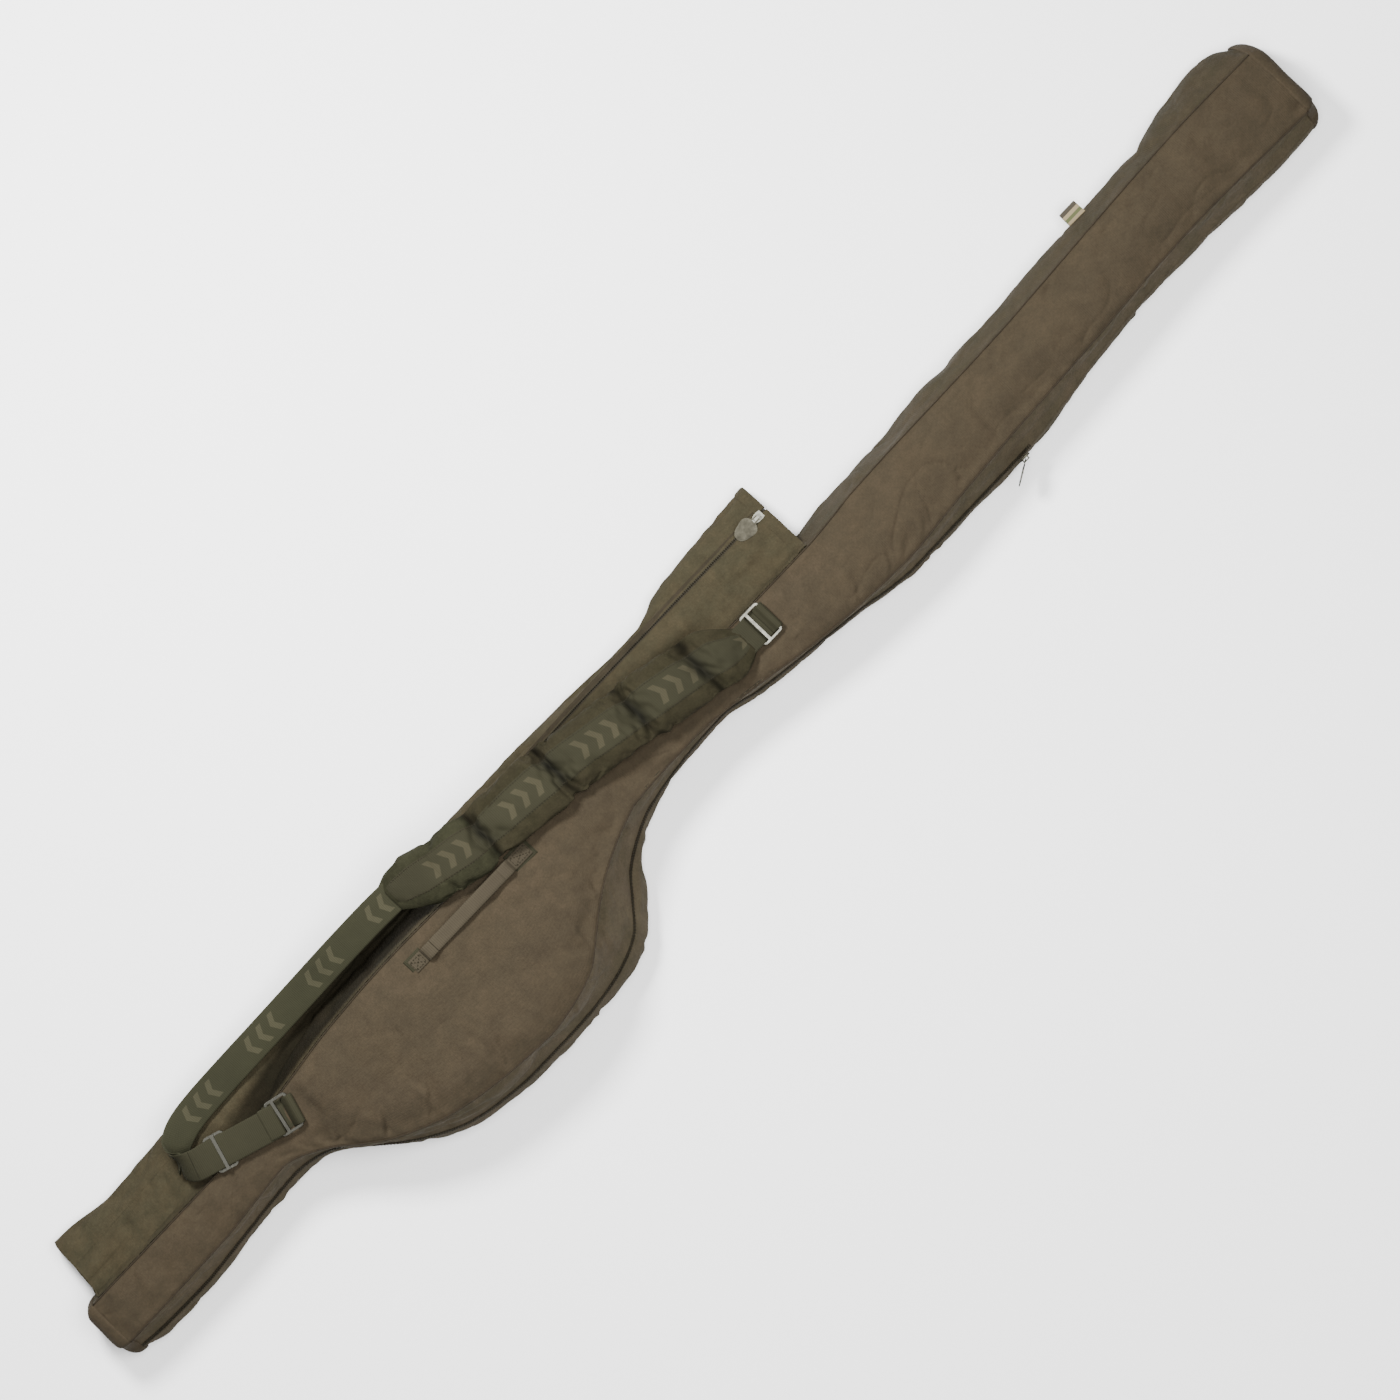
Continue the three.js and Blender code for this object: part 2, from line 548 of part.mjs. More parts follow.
// The padded strap: middle line, tilt across, half width and half thickness at each station.
const PAD_PATH = [
  { x: 1078, y: 4, z: 91, tilt: 0, half: 19, thick: 5 },
  { x: 1062, y: 8, z: 94, tilt: 0, half: 28, thick: 8 },
  { x: 1044, y: 14, z: 96.5, tilt: 1, half: 36, thick: 11 },
  { x: 1021, y: 20, z: 98.5, tilt: 3, half: 38, thick: 12 },
  { x: 980, y: 28, z: 100, tilt: 5, half: 38, thick: 12 },
  { x: 935, y: 37, z: 101.5, tilt: 7, half: 38, thick: 12 },
  { x: 885, y: 46, z: 104, tilt: 9, half: 38, thick: 12 },
  { x: 832, y: 56, z: 109, tilt: 11, half: 38, thick: 12 },
  { x: 780, y: 61, z: 114, tilt: 12, half: 37, thick: 12 },
  { x: 722, y: 66, z: 117, tilt: 13, half: 36, thick: 12 },
  { x: 680, y: 72, z: 117, tilt: 13, half: 36, thick: 12 },
  { x: 636, y: 82, z: 113, tilt: 13, half: 36, thick: 12 },
  { x: 614, y: 88, z: 108, tilt: 11, half: 29, thick: 9 },
  { x: 594, y: 93, z: 102, tilt: 8, half: 19, thick: 5 },
];

function padRing({ x, y, z, tilt, half, thick }) {
  const t = thick / 2;
  const bevel = t * 0.7;
  const a = THREE.MathUtils.degToRad(tilt);
  const side = vec(0, Math.cos(a), -Math.sin(a));
  const up = vec(0, Math.sin(a), Math.cos(a));
  return [
    [-half, -t + bevel], [-half + bevel, -t], [half - bevel, -t], [half, -t + bevel],
    [half, t - bevel], [half - bevel, t], [-half + bevel, t], [-half, t - bevel],
  ].map(([s, u]) => vec(x, y, z).addScaledVector(side, s).addScaledVector(up, u));
}

// The same ring moved a little along the strap, so that neighbouring pieces don't touch.
const shifted = (station, dx) => ({ ...station, x: station.x + dx });

const STRAP_TURN = [
  vec(592, 93, 102), vec(560, 94, 95), vec(500, 94, 80), vec(440, 93, 67), vec(380, 92, 58), vec(320, 91, 54),
  vec(285, 90, 53.5), vec(262, 88.5, 54), vec(244, 86, 56), vec(229, 81, 60), vec(218, 74, 65.5), vec(212, 66, 71.5),
  vec(211, 57, 77.5), vec(216, 49, 83), vec(226, 43.5, 87), vec(240, 39.5, 89),
];

function shoulderStrap() {
  const upper = strapAnchor("upper");
  const lower = strapAnchor("lower");
  upper.updateMatrixWorld();
  lower.updateMatrixWorld();
  const [first, ...rest] = PAD_PATH;
  add("strap_pad_upper_end", loft([first, ...rest.slice(0, 3)].map(padRing)), PAD_CLOTH);
  const middle = PAD_PATH.slice(3, 12);
  const body = [shifted(middle[0], -GAP), ...middle.slice(1, -1), shifted(middle[middle.length - 1], GAP)];
  add("strap_pad", loft(body.map(padRing)), PAD_CLOTH);
  add("strap_pad_lower_end", loft(PAD_PATH.slice(11).map(padRing)), PAD_CLOTH);
  const path = strapPath(lower);
  const lean = vec(0.26, 0.96, 0);
  const turned = STRAP_TURN.length - 2;
  const across = (i) => vec(0, 1, 0).lerp(lean, Math.min(i / turned, 1));
  add("strap_webbing", band(path, across, WEBBING.width, WEBBING.thick), STRAP_WEB);
  const from = RETURN.rest;
  const glide = new THREE.Group();
  glide.position.copy(from);
  glide.quaternion.setFromRotationMatrix(returnBasis(path));
  model.add(glide);
  add("strap_adjuster", adjusterBody(), STEEL, glide);
}

// The webbing's whole route: down the case, round the turn and back to the lower buckle.
function strapPath(lower) {
  const end = vec(-ANCHORS.lower.loop - 2.4, 0, 6 + BUCKLE.thick / 2 + 1.2).applyMatrix4(lower.matrixWorld);
  const start = STRAP_TURN[STRAP_TURN.length - 1];
  const straight = [0.25, 0.5, 0.75, 1].map((t) => start.clone().lerp(end, t));
  RETURN.rest = start.clone().lerp(end, 0.29);
  RETURN.along = end.clone().sub(start).normalize();
  return [...STRAP_TURN, ...straight];
}
const RETURN = { rest: null, along: null };

function returnBasis() {
  const along = RETURN.along;
  const side = vec(0.26, 0.96, 0);
  side.addScaledVector(along, -side.dot(along)).normalize();
  return new THREE.Matrix4().makeBasis(along, side, along.clone().cross(side));
}

// A three-bar adjuster: two bars under the webbing and one over it, so it slides along the webbing.
function adjusterBody() {
  const { width, slot } = BUCKLE;
  const under = WEBBING.thick / 2 + 0.5;
  const outline = new THREE.ExtrudeGeometry(roundedRectangle(26, width, 5), {
    depth: 2.4, bevelEnabled: false, curveSegments: 3,
  }).translate(0, 0, -under - 2.4);
  const plate = cut(outline, boxAt(0, 0, -under - 1.2, 19, slot, 6));
  const rail = (width - slot) / 2;
  const posts = [-1, 1].map((s) => boxAt(0, s * (slot / 2 + rail / 2), -0.2, 5, rail - 0.4, 2 * under + 3.2));
  return join(plate, ...posts, boxAt(0, 0, under + 1, 4, width - 0.6, 2));
}

// ---- Carry handle ----
function carryHandle() {
  const { from, to, y, width, thick, rise } = HANDLE;
  const seat = FOLD.z + GAP;
  const patch = 1.4;
  add("handle_patch_butt", boxAt(from - 11, y, seat + patch / 2, 22, 22, patch), TRIM_CLOTH);
  add("handle_patch_tip", boxAt(to + 15, y, seat + patch / 2, 30, 22, patch), TRIM_CLOTH);
  const foot = seat + patch + GAP + 1.5;
  const top = FOLD.z + rise;
  const leg = (x, s) => [
    vec(x - s * 8, y, foot), vec(x, y, foot + 0.6), vec(x + s * 6, y, foot + 4), vec(x + s * 10, y, top - 2),
    vec(x + s * 16 - s * GAP, y, top),
  ];
  const across = () => vec(0, 1, 0);
  add("handle_leg_butt", band(leg(from, 1), across, width, 3), STRAP_WEB);
  add("handle_leg_tip", band(leg(to, -1), across, width, 3), STRAP_WEB);
  const ring = (x) => padRing({ x, y, z: top, tilt: 0, half: width / 2, thick });
  add("handle_grip", loft([from + 16 + GAP / 2, to - 16 - GAP / 2].map(ring)), STRAP_WEB);
}

// ---- Small trim and what is inside ----
function sideTag() {
  const y = leftY(1688) + 0.6;
  const path = [
    [0, 2.4], [13, 2.2], [15.2, 1.6], [16.2, 0], [15.2, -1.6], [13, -2.2], [0, -2.4],
  ].map(([dy, dz]) => vec(1688, y + dy, 30 + dz));
  add("side_tag", band(path, () => vec(1, 0, 0), 24, 0.9), TAG_CLOTH);
}

function insides() {
  const floor = FLOOR_CLEAR;
  const backFoam = (x) => [[backRightY(x) + 12, floor], [backLeftY(x) - 8, floor]];
  add("back_foam", panel(BUTT_X + 4, TIP_X - 4, backFoam, FOAM), FOAM_GREY);
  const frontFoam = (x) => {
    const z = frontZ(x) - PANEL - GAP;
    const right = Math.max(frontRightY(x) + SEAM + FOAM, x > FOLD.from && x < FOLD.to ? FOLD.y + FOAM : -Infinity);
    return [[frontLeftY(x) - SEAM - FOAM, z], [right, z]];
  };
  add("front_foam", panel(BUTT_X + 4, TIP_X - 4, frontFoam, FOAM), FOAM_GREY);
  const tie = floor + FOAM + GAP;
  for (const [name, x, y] of [["butt", 200, -10], ["middle", 980, 0], ["tip", 1500, 0]])
    add("rod_tie_" + name, boxAt(x, y, tie + 1.2, 25, 54, 2.4), LINING);
  add("reel_pad", boxAt(585, -95, tie + 3, 200, 90, 6), FOAM_GREY);
}

rodTube();
reelFlap();
mainZip();
mainSlider();
outsidePocket();
pocketSlider();
shoulderStrap();
carryHandle();
sideTag();
insides();

// ---- Origin at the bottom centre of the whole case ----
const part = new THREE.Group();
part.add(model);
part.updateMatrixWorld(true);
const bounds = new THREE.Box3().setFromObject(part, true);
const centre = bounds.getCenter(vec(0, 0, 0));
model.position.set(-centre.x, -centre.y, -bounds.min.z);

export default part;
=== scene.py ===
import json
import math

import bmesh
import bpy
import numpy as np
from mathutils import Matrix, Vector


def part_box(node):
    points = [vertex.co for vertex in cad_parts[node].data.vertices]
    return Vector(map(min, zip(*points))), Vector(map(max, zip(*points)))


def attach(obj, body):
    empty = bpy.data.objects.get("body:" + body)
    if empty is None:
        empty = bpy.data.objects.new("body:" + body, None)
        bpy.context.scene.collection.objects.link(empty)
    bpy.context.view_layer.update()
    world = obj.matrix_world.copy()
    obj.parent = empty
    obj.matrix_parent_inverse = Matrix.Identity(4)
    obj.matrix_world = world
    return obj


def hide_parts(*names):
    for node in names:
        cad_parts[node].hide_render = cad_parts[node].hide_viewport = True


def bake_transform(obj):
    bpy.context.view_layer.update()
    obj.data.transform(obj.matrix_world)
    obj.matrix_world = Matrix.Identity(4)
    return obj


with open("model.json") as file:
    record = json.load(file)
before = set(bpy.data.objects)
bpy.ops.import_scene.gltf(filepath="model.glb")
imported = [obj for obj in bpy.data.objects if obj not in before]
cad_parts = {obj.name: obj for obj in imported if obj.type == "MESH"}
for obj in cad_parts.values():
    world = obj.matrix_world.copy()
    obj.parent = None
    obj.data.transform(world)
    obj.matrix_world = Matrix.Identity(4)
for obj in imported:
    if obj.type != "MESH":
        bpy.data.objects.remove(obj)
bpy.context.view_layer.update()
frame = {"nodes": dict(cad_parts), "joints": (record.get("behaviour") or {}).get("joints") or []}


# ---------------------------------------------------------------- small maths
def unit(v):
    return v / np.maximum(np.linalg.norm(v, axis=-1, keepdims=True), 1e-12)


def lengths(line):
    """How far along a line of points each point is."""
    return np.concatenate([[0], np.cumsum(np.linalg.norm(np.diff(line, axis=0), axis=-1))])


def picked(at, known, values):
    """Points at places between known ones."""
    return np.stack([np.interp(at, known, values[:, k]) for k in range(3)], -1)


def widths(P):
    """The width of a sheet at each of its rows, as a column."""
    return np.linalg.norm(np.diff(P, axis=1), axis=-1).sum(1)[:, None]


def ramp(v, low, high):
    t = np.clip((v - low) / (high - low), 0, 1)
    return t * t * (3 - 2 * t)


def smooth(xs, vs):
    """A curve through the points that never overshoots."""
    xs, vs = np.asarray(xs, float), np.asarray(vs, float)
    order = np.argsort(xs)
    xs, vs = xs[order], vs[order]
    keep = np.concatenate([[True], np.diff(xs) > 2e-4])
    xs, vs = xs[keep], vs[keep]
    h = np.diff(xs)
    s = np.diff(vs) / h
    m = np.concatenate([[s[0]], np.zeros(len(s) - 1), [s[-1]]])
    same = s[:-1] * s[1:] > 0
    total = np.where(same, s[:-1] + s[1:], 1)
    m[1:-1] = np.where(same, 2 * s[:-1] * s[1:] / total, 0)

    def at(x):
        x = np.clip(np.asarray(x, float), xs[0], xs[-1])
        i = np.clip(np.searchsorted(xs, x, side="right") - 1, 0, len(h) - 1)
        t = (x - xs[i]) / h[i]
        a = (1 + 2 * t) * (1 - t) ** 2 * vs[i] + t * (1 - t) ** 2 * h[i] * m[i]
        return a + t * t * (3 - 2 * t) * vs[i + 1] + t * t * (t - 1) * h[i] * m[i + 1]

    return at


def hash3(i, j, k, seed):
    n = (i * 374761393 + j * 668265263 + k * 1274126177 + seed * 974711) & 0xFFFFFFFF
    n = ((n ^ (n >> 13)) * 1274126177) & 0xFFFFFFFF
    return ((n ^ (n >> 16)) & 0xFFFF) / 32767.5 - 1


def noise(p, size, seed=0):
    """Smooth noise from -1 to 1. size is the width of a bump, one number or one per axis."""
    q = np.asarray(p) / np.asarray(size) + 37.2 + 5.1 * seed
    c = np.floor(q).astype(np.int64)
    f = q - c
    f = f * f * f * (f * (f * 6 - 15) + 10)
    out = 0
    for a in (0, 1):
        for b in (0, 1):
            for d in (0, 1):
                w = (f[..., 0] if a else 1 - f[..., 0]) * (f[..., 1] if b else 1 - f[..., 1])
                w = w * (f[..., 2] if d else 1 - f[..., 2])
                out = out + w * hash3(c[..., 0] + a, c[..., 1] + b, c[..., 2] + d, seed)
    return out


def fold(p, size, seed=0, sharp=2.0):
    """Ridges, as creased cloth has: near 1 along thin lines and near 0 elsewhere."""
    return (1 - np.abs(noise(p, size, seed))) ** (2 * sharp)


def creases(Q, starts, turns, lengths, widths, depths):
    """Folds that run out of a seam: each starts at a point of the plane Q and fades along its heading."""
    h = np.zeros(Q.shape[:-1])
    for start, turn, length, width, depth in zip(starts, turns, lengths, widths, depths):
        d = Q - start
        s = d[..., 0] * math.cos(turn) + d[..., 1] * math.sin(turn)
        n = -d[..., 0] * math.sin(turn) + d[..., 1] * math.cos(turn)
        n = n + 0.10 * s * np.sin(s / length * 4)
        fade = ramp(s, -0.006, 0.10 * length) * (1 - ramp(s, 0.35 * length, length))
        wide = width * (1 + 0.8 * np.clip(s / length, 0, 1))
        h += depth * fade * (0.8 * np.exp(-(((n - 1.3 * wide) / wide) ** 2)) - np.exp(-((n / wide) ** 2)))
    return h


def crease_set(x0, x1, line, inward, count, seed, length=(0.03, 0.09), depth=(0.0008, 0.0024), spread=0.9):
    """Random creases from a seam line(x), leaning either way off the inward heading."""
    r = np.random.default_rng(seed)
    xs = r.uniform(x0, x1, count)
    starts = np.stack([xs, line(xs)], -1)
    turns = inward + r.uniform(-spread, spread, count)
    wide = r.uniform(0.0025, 0.0055, count)
    return starts, turns, r.uniform(*length, count), wide, r.uniform(*depth, count)


def grid_normals(P, closed=False):
    du = np.gradient(P, axis=0)
    if closed:
        dv = np.roll(P, -1, axis=1) - np.roll(P, 1, axis=1)
    else:
        dv = np.gradient(P, axis=1)
    return unit(np.cross(du, dv))


def sample(field, i, j):
    """field at fractional rows i and columns j, smoothly."""

    def along(array, q):
        n = array.shape[0]
        k = np.clip(np.floor(q).astype(int), 0, n - 2)
        f = (q - k)[:, None, None]
        w = [
            -0.5 * f + f * f - 0.5 * f**3,
            1 - 2.5 * f * f + 1.5 * f**3,
            0.5 * f + 2 * f * f - 1.5 * f**3,
            -0.5 * f * f + 0.5 * f**3,
        ]
        return sum(w[o] * array[np.clip(k + o - 1, 0, n - 1)] for o in range(4))

    rows = along(field, i)
    return along(rows.transpose(1, 0, 2), j).transpose(1, 0, 2)


# ---------------------------------------------------------------- what the CAD nodes measure
SEAM = 0.004
LEFT = ["left_gusset_" + k for k in ("butt", "reel", "pocket", "tip")]


def corners_of(name):
    co = np.array([v.co for v in frame["nodes"][name].data.vertices], float)
    return np.unique(np.round(co, 5), axis=0)


def stations(*names):
    co = np.concatenate([corners_of(name) for name in names])
    xs = np.unique(np.round(co[:, 0], 4))
    xs = xs[np.concatenate([[True], np.diff(xs) > 2.5e-4])]
    return [co[np.abs(co[:, 0] - x) < 2.4e-4] for x in xs]


def curves(points):
    """y(x) and z(x) through a list of points."""
    points = np.array(points)
    return smooth(points[:, 0], points[:, 1]), smooth(points[:, 0], points[:, 2])


def read_tube():
    out = {}
    left, wide, back = [], [], []
    for p in stations(*LEFT):
        low, far, top = p[p[:, 2].argmin()], p[p[:, 1].argmax()], p[p[:, 2].argmax()]
        left.append(top + SEAM * unit(top - far))
        wide.append(far)
        back.append(low)
    out["frontLeft"], out["left"], out["backLeft"] = curves(left), curves(wide), curves(back)
    lower, wide, back = [], [], []
    for p in stations("right_lower_gusset"):
        lower.append(p[p[:, 2].argmax()])
        wide.append(p[p[:, 1].argmin()])
        back.append(p[p[:, 2].argmin()])
    out["right"], out["backRight"] = curves(wide), curves(back)
    lower = np.array(lower)
    seam, zips = [], []
    for name in ("right_upper_gusset_butt", "reel_flap_gusset", "right_upper_gusset_tip"):
        for p in stations(name):
            p = p[p[:, 2].argsort()]
            low, top = min(p[:2], key=lambda q: q[1]), min(p[2:], key=lambda q: q[1])
            seam.append(top + SEAM * unit(top - low))
            zips.append((low + picked(low[0], lower[:, 0], lower)) / 2)
    out["frontRight"], out["zip"] = curves(seam), curves(zips)
    top = [p[p[:, 2].argmax()] for p in stations("front_panel_butt", "front_panel_tip")]
    out["frontZ"] = curves(top)[1]
    return out


TUBE = read_tube()
X0, X1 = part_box("front_panel_butt")[0].x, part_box("front_panel_tip")[1].x
JOINTS = {joint["name"]: joint for joint in frame["joints"]}
FLAP0, FLAP1 = (end.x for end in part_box("reel_flap_gusset"))
P0, P1 = (end.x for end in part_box("pocket_inner_panel"))
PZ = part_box("pocket_zip_inner_half")[0].x  # where the pocket's zip starts
ZIP_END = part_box("main_zip_lower_half")[1].x


def corner(name, x):
    y, z = TUBE[name]
    return np.stack([x, y(x), z(x)], -1)


def front_corner(name, x):
    return np.stack([x, TUBE[name][0](x), TUBE["frontZ"](x)], -1)


# ---------------------------------------------------------------- materials
def linear(rgb):
    c = np.array(rgb) / 255
    return tuple(np.where(c <= 0.04045, c / 12.92, ((c + 0.055) / 1.055) ** 2.4)) + (1.0,)


class Nodes:
    """A material's nodes. An input takes a value, or a socket to link to it."""

    def __init__(self, name):
        self.mat = bpy.data.materials.new(name)
        self.mat.use_nodes = True
        self.tree = self.mat.node_tree

    def put(self, node, inputs):
        for key, value in inputs.items():
            if isinstance(value, bpy.types.NodeSocket):
                self.tree.links.new(value, node.inputs[key])
            else:
                node.inputs[key].default_value = value

    def add(self, kind, out, inputs, **settings):
        node = self.tree.nodes.new("ShaderNode" + kind)
        for key, value in settings.items():
            setattr(node, key, value)
        self.put(node, inputs)
        return node.outputs[out]

    def shade(self, inputs):
        self.put(self.tree.nodes["Principled BSDF"], inputs)
        return self.mat

    def coords(self, kind):
        return self.add("TexCoord", kind, {})

    def part(self, vector, axis):
        return self.add("SeparateXYZ", axis, {0: vector})

    def noise(self, vector, scale, detail, rough):
        inputs = {"Vector": vector, "Scale": scale, "Detail": detail, "Roughness": rough}
        return self.add("TexNoise", "Fac", inputs)

    def span(self, value, a, b, c, d):
        """The value, with a to b stretched to c to d."""
        inputs = {"Value": value, "From Min": a, "From Max": b, "To Min": c, "To Max": d}
        return self.add("MapRange", "Result", inputs)

    def math(self, operation, a, b=0.0):
        return self.add("Math", 0, {0: a, 1: b}, operation=operation)

    def mix(self, share, a, b):
        return self.add("Mix", 2, {0: share, 6: a, 7: b}, data_type="RGBA")

    def bump(self, height, distance, strength, under=None):
        inputs = {"Height": height, "Distance": distance, "Strength": strength}
        if under is not None:
            inputs["Normal"] = under
        return self.add("Bump", "Normal", inputs)

    def times(self, colour, level):
        return self.add("VectorMath", 0, {0: colour, "Scale": level}, operation="SCALE")

    def wave(self, vector, scale, axis):
        look = {"wave_type": "BANDS", "bands_direction": axis, "wave_profile": "SIN"}
        return self.add("TexWave", "Fac", {"Vector": vector, "Scale": scale}, **look)

    def with_painted_shade(self, level):
        """The level, darkened by the painted shade held in a point attribute."""
        shade_amount = self.add("Attribute", "Fac", {}, attribute_name="painted_shade")
        return self.math("MULTIPLY", level, self.span(shade_amount, 0, 1, 1, 0.06))


# Where asked, the colour is darkened by painted shade held in a point attribute of the piece.
def cloth(name, rgb, other, mottle=0.12, weave=900.0, rough=0.92, crease=0.0012, with_painted_shade=False):
    """Plain woven cloth: fine threads, blotches of two shades, and soft small creases."""
    m = Nodes(name)
    place, uv = m.coords("Object"), m.coords("UV")
    blotch, grain = m.noise(place, 26, 5, 0.68), m.noise(place, 420, 3, 0.75)
    colour = m.mix(m.span(blotch, 0.38, 0.62, 0, 1), linear(rgb), linear(other))
    shade = m.span(m.noise(place, 70, 4, 0.65), 0.3, 0.7, 1 - mottle, 1 + mottle)
    level = m.math("MULTIPLY", shade, m.span(grain, 0.3, 0.7, 0.86, 1.14))
    threads = m.math("MAXIMUM", *(m.wave(uv, weave / 6.283, axis) for axis in "XY"))
    normal = m.bump(m.noise(place, 55, 5, 0.62), crease, 0.9)
    normal = m.bump(grain, 0.0004, 0.8, normal)
    return m.shade({
        "Base Color": m.times(colour, m.with_painted_shade(level) if with_painted_shade else level),
        "Normal": m.bump(threads, 0.00025, 0.6, normal),
        "Roughness": m.span(blotch, 0.3, 0.7, rough - 0.06, min(1, rough + 0.05)),
        "Specular IOR Level": 0.04 if with_painted_shade else 0.1,
    })


# Where asked, the colour is darkened by painted shade held in a point attribute of the piece.
def ribbed(name, rgb, motif=None, pitch=0.0022, with_painted_shade=False):
    """Woven webbing: ribs across it, fine lines along it, and an optional woven motif."""
    m = Nodes(name)
    uv, place = m.coords("UV"), m.coords("Object")
    u, v = m.part(uv, 0), m.part(uv, 1)

    def bands(along, width):
        return m.math("ABSOLUTE", m.math("SINE", m.math("MULTIPLY", along, math.pi / width)))

    ribs = m.math("MULTIPLY", bands(u, pitch), 0.7)
    weave = m.math("ADD", ribs, m.math("MULTIPLY", bands(v, 0.0016), 0.3))
    shade = m.span(m.noise(place, 14, 4, 0.6), 0.3, 0.7, 0.88, 1.12)
    level = m.math("MULTIPLY", shade, m.span(weave, 0, 1, 0.86, 1.06))
    colour = linear(rgb)[:3]
    if motif:
        colour = m.mix(motif_mask(m, u, v), linear(rgb), linear(motif))
    return m.shade({
        "Base Color": m.times(colour, m.with_painted_shade(level) if with_painted_shade else level),
        "Normal": m.bump(weave, 0.0004, 0.7, m.bump(m.noise(place, 70, 3, 0.6), 0.0006, 0.8)),
        "Roughness": 0.85,
        "Specular IOR Level": 0.1,
    })


def motif_mask(m, u, v, repeat=0.105, reach=0.62):
    """A plain woven pattern: three chevrons, a gap, and again."""
    along = m.math("SUBTRACT", m.math("MODULO", m.math("ADD", u, 10.0), repeat), repeat / 2)
    across = m.math("ABSOLUTE", v)
    lean = m.math("ABSOLUTE", m.math("ADD", along, m.math("MULTIPLY", across, 0.55)))
    outer = m.math("ABSOLUTE", m.math("SUBTRACT", lean, WEBBING * 0.52))
    inside = m.math("LESS_THAN", m.math("MINIMUM", lean, outer), WEBBING * 0.1)
    within = m.math("LESS_THAN", across, WEBBING * reach / 2)
    return m.math("MULTIPLY", m.math("MULTIPLY", inside, within), 0.7)


def metal(name, rgb, rough, wear=0.08):
    m = Nodes(name)
    place = m.coords("Object")
    patch = m.noise(place, 160, 4, 0.6)
    worn = linear([c * (1 - wear * 2) for c in rgb])
    drawn = m.add("Mapping", "Vector", {"Vector": place, "Scale": (300, 2600, 300)})
    return m.shade({
        "Base Color": m.mix(m.span(patch, 0.3, 0.7, 0, 1), linear(rgb), worn),
        "Metallic": 1.0,
        "Roughness": m.span(patch, 0.3, 0.7, rough - 0.06, rough + 0.1),
        "Normal": m.bump(m.noise(drawn, 1, 3, 0.6), 0.00006, 0.5),
    })


def striped(name, bands):
    """A woven tag in bands along v."""
    m = Nodes(name)
    colours = m.tree.nodes.new("ShaderNodeValToRGB")
    colours.color_ramp.interpolation = "CONSTANT"
    elements = colours.color_ramp.elements
    for k, (at, rgb) in enumerate(bands):
        e = elements[k] if k < 2 else elements.new(at)
        e.position = at
        e.color = linear(rgb)
    m.put(colours, {"Fac": m.part(m.coords("UV"), 1)})
    normal = m.bump(m.noise(m.coords("Object"), 1800, 2, 0.7), 0.0002, 0.8)
    return m.shade({"Base Color": colours.outputs["Color"], "Normal": normal, "Roughness": 0.85})


WEBBING = 0.037  # the width of the strap's webbing
SHELL = cloth("shell_cloth", (50, 43, 32), (47, 41, 31), mottle=0.10)
# One gusset fabric in two copies: the right side's cloth is a lighter copy, painted light where light falls
# on the right side, and the side cloth stays darker on the left side, which is in shade.
SIDE = cloth("side_cloth", (46, 40, 29), (42, 38, 27))
RIGHT_SIDE_LIT = cloth("right_side_lit_cloth", (60, 53, 41), (55, 50, 38))
POCKET = cloth("pocket_cloth", (49, 44, 32), (45, 42, 31), mottle=0.14, crease=0.0016, with_painted_shade=True)
TRIM = cloth("trim_cloth", (40, 34, 25), (37, 32, 24), weave=1400)
LINING = cloth("lining", (32, 30, 23), (30, 29, 23), weave=1200)
PAD_CLOTH = cloth("pad_cloth", (37, 34, 24), (34, 32, 22), mottle=0.15, with_painted_shade=True)
PAD_END = cloth("pad_end_cloth", (36, 36, 25), (33, 33, 23), mottle=0.18, with_painted_shade=True)
PAD_WEB = ribbed("pad_webbing", (36, 35, 24), motif=(53, 50, 37), with_painted_shade=True)
TAPE_CLOTH = cloth("zip_tape", (42, 37, 28), (39, 35, 26), weave=2200)
COIL = cloth("zip_coil", (38, 34, 25), (35, 32, 23), weave=3000, rough=0.6)
THREAD = cloth("thread", (36, 32, 23), (34, 31, 22), weave=4000)
WEB = ribbed("webbing", (38, 38, 26), motif=(57, 55, 41), with_painted_shade=True)
WEB_PLAIN = ribbed("webbing_plain", (37, 36, 25))
HANDLE_WEB = ribbed("handle_webbing", (51, 46, 36), pitch=0.0026)
LINING_WEB = ribbed("lining_webbing", (30, 29, 23))
STEEL = metal("steel", (90, 89, 82), 0.4)
PULL_METAL = metal("pull_metal", (56, 54, 46), 0.5)
DARK = metal("dark_metal", (48, 47, 40), 0.4)
TAG = striped(
    "tag",
    [
        (0.0, (34, 29, 20)),
        (0.2, (112, 100, 74)),
        (0.42, (64, 68, 36)),
        (0.6, (116, 104, 78)),
        (0.8, (44, 38, 26)),
    ],
)


# ---------------------------------------------------------------- meshes
def make(name, verts, faces, uv, mats, index=None, smooth_shade=True):
    mesh = bpy.data.meshes.new(name)
    mesh.from_pydata(verts.tolist(), [], faces.tolist() if hasattr(faces, "tolist") else faces)
    layer = mesh.uv_layers.new(name="UVMap")
    loops = np.zeros(len(mesh.loops), np.int32)
    mesh.loops.foreach_get("vertex_index", loops)
    layer.data.foreach_set("uv", np.asarray(uv, np.float32)[loops].ravel())
    for m in mats:
        mesh.materials.append(m)
    if index is not None:
        mesh.polygons.foreach_set("material_index", np.asarray(index, np.int32))
    mesh.polygons.foreach_set("use_smooth", np.full(len(mesh.polygons), smooth_shade))
    mesh.update()
    o = bpy.data.objects.new(name, mesh)
    bpy.context.scene.collection.objects.link(o)
    return o


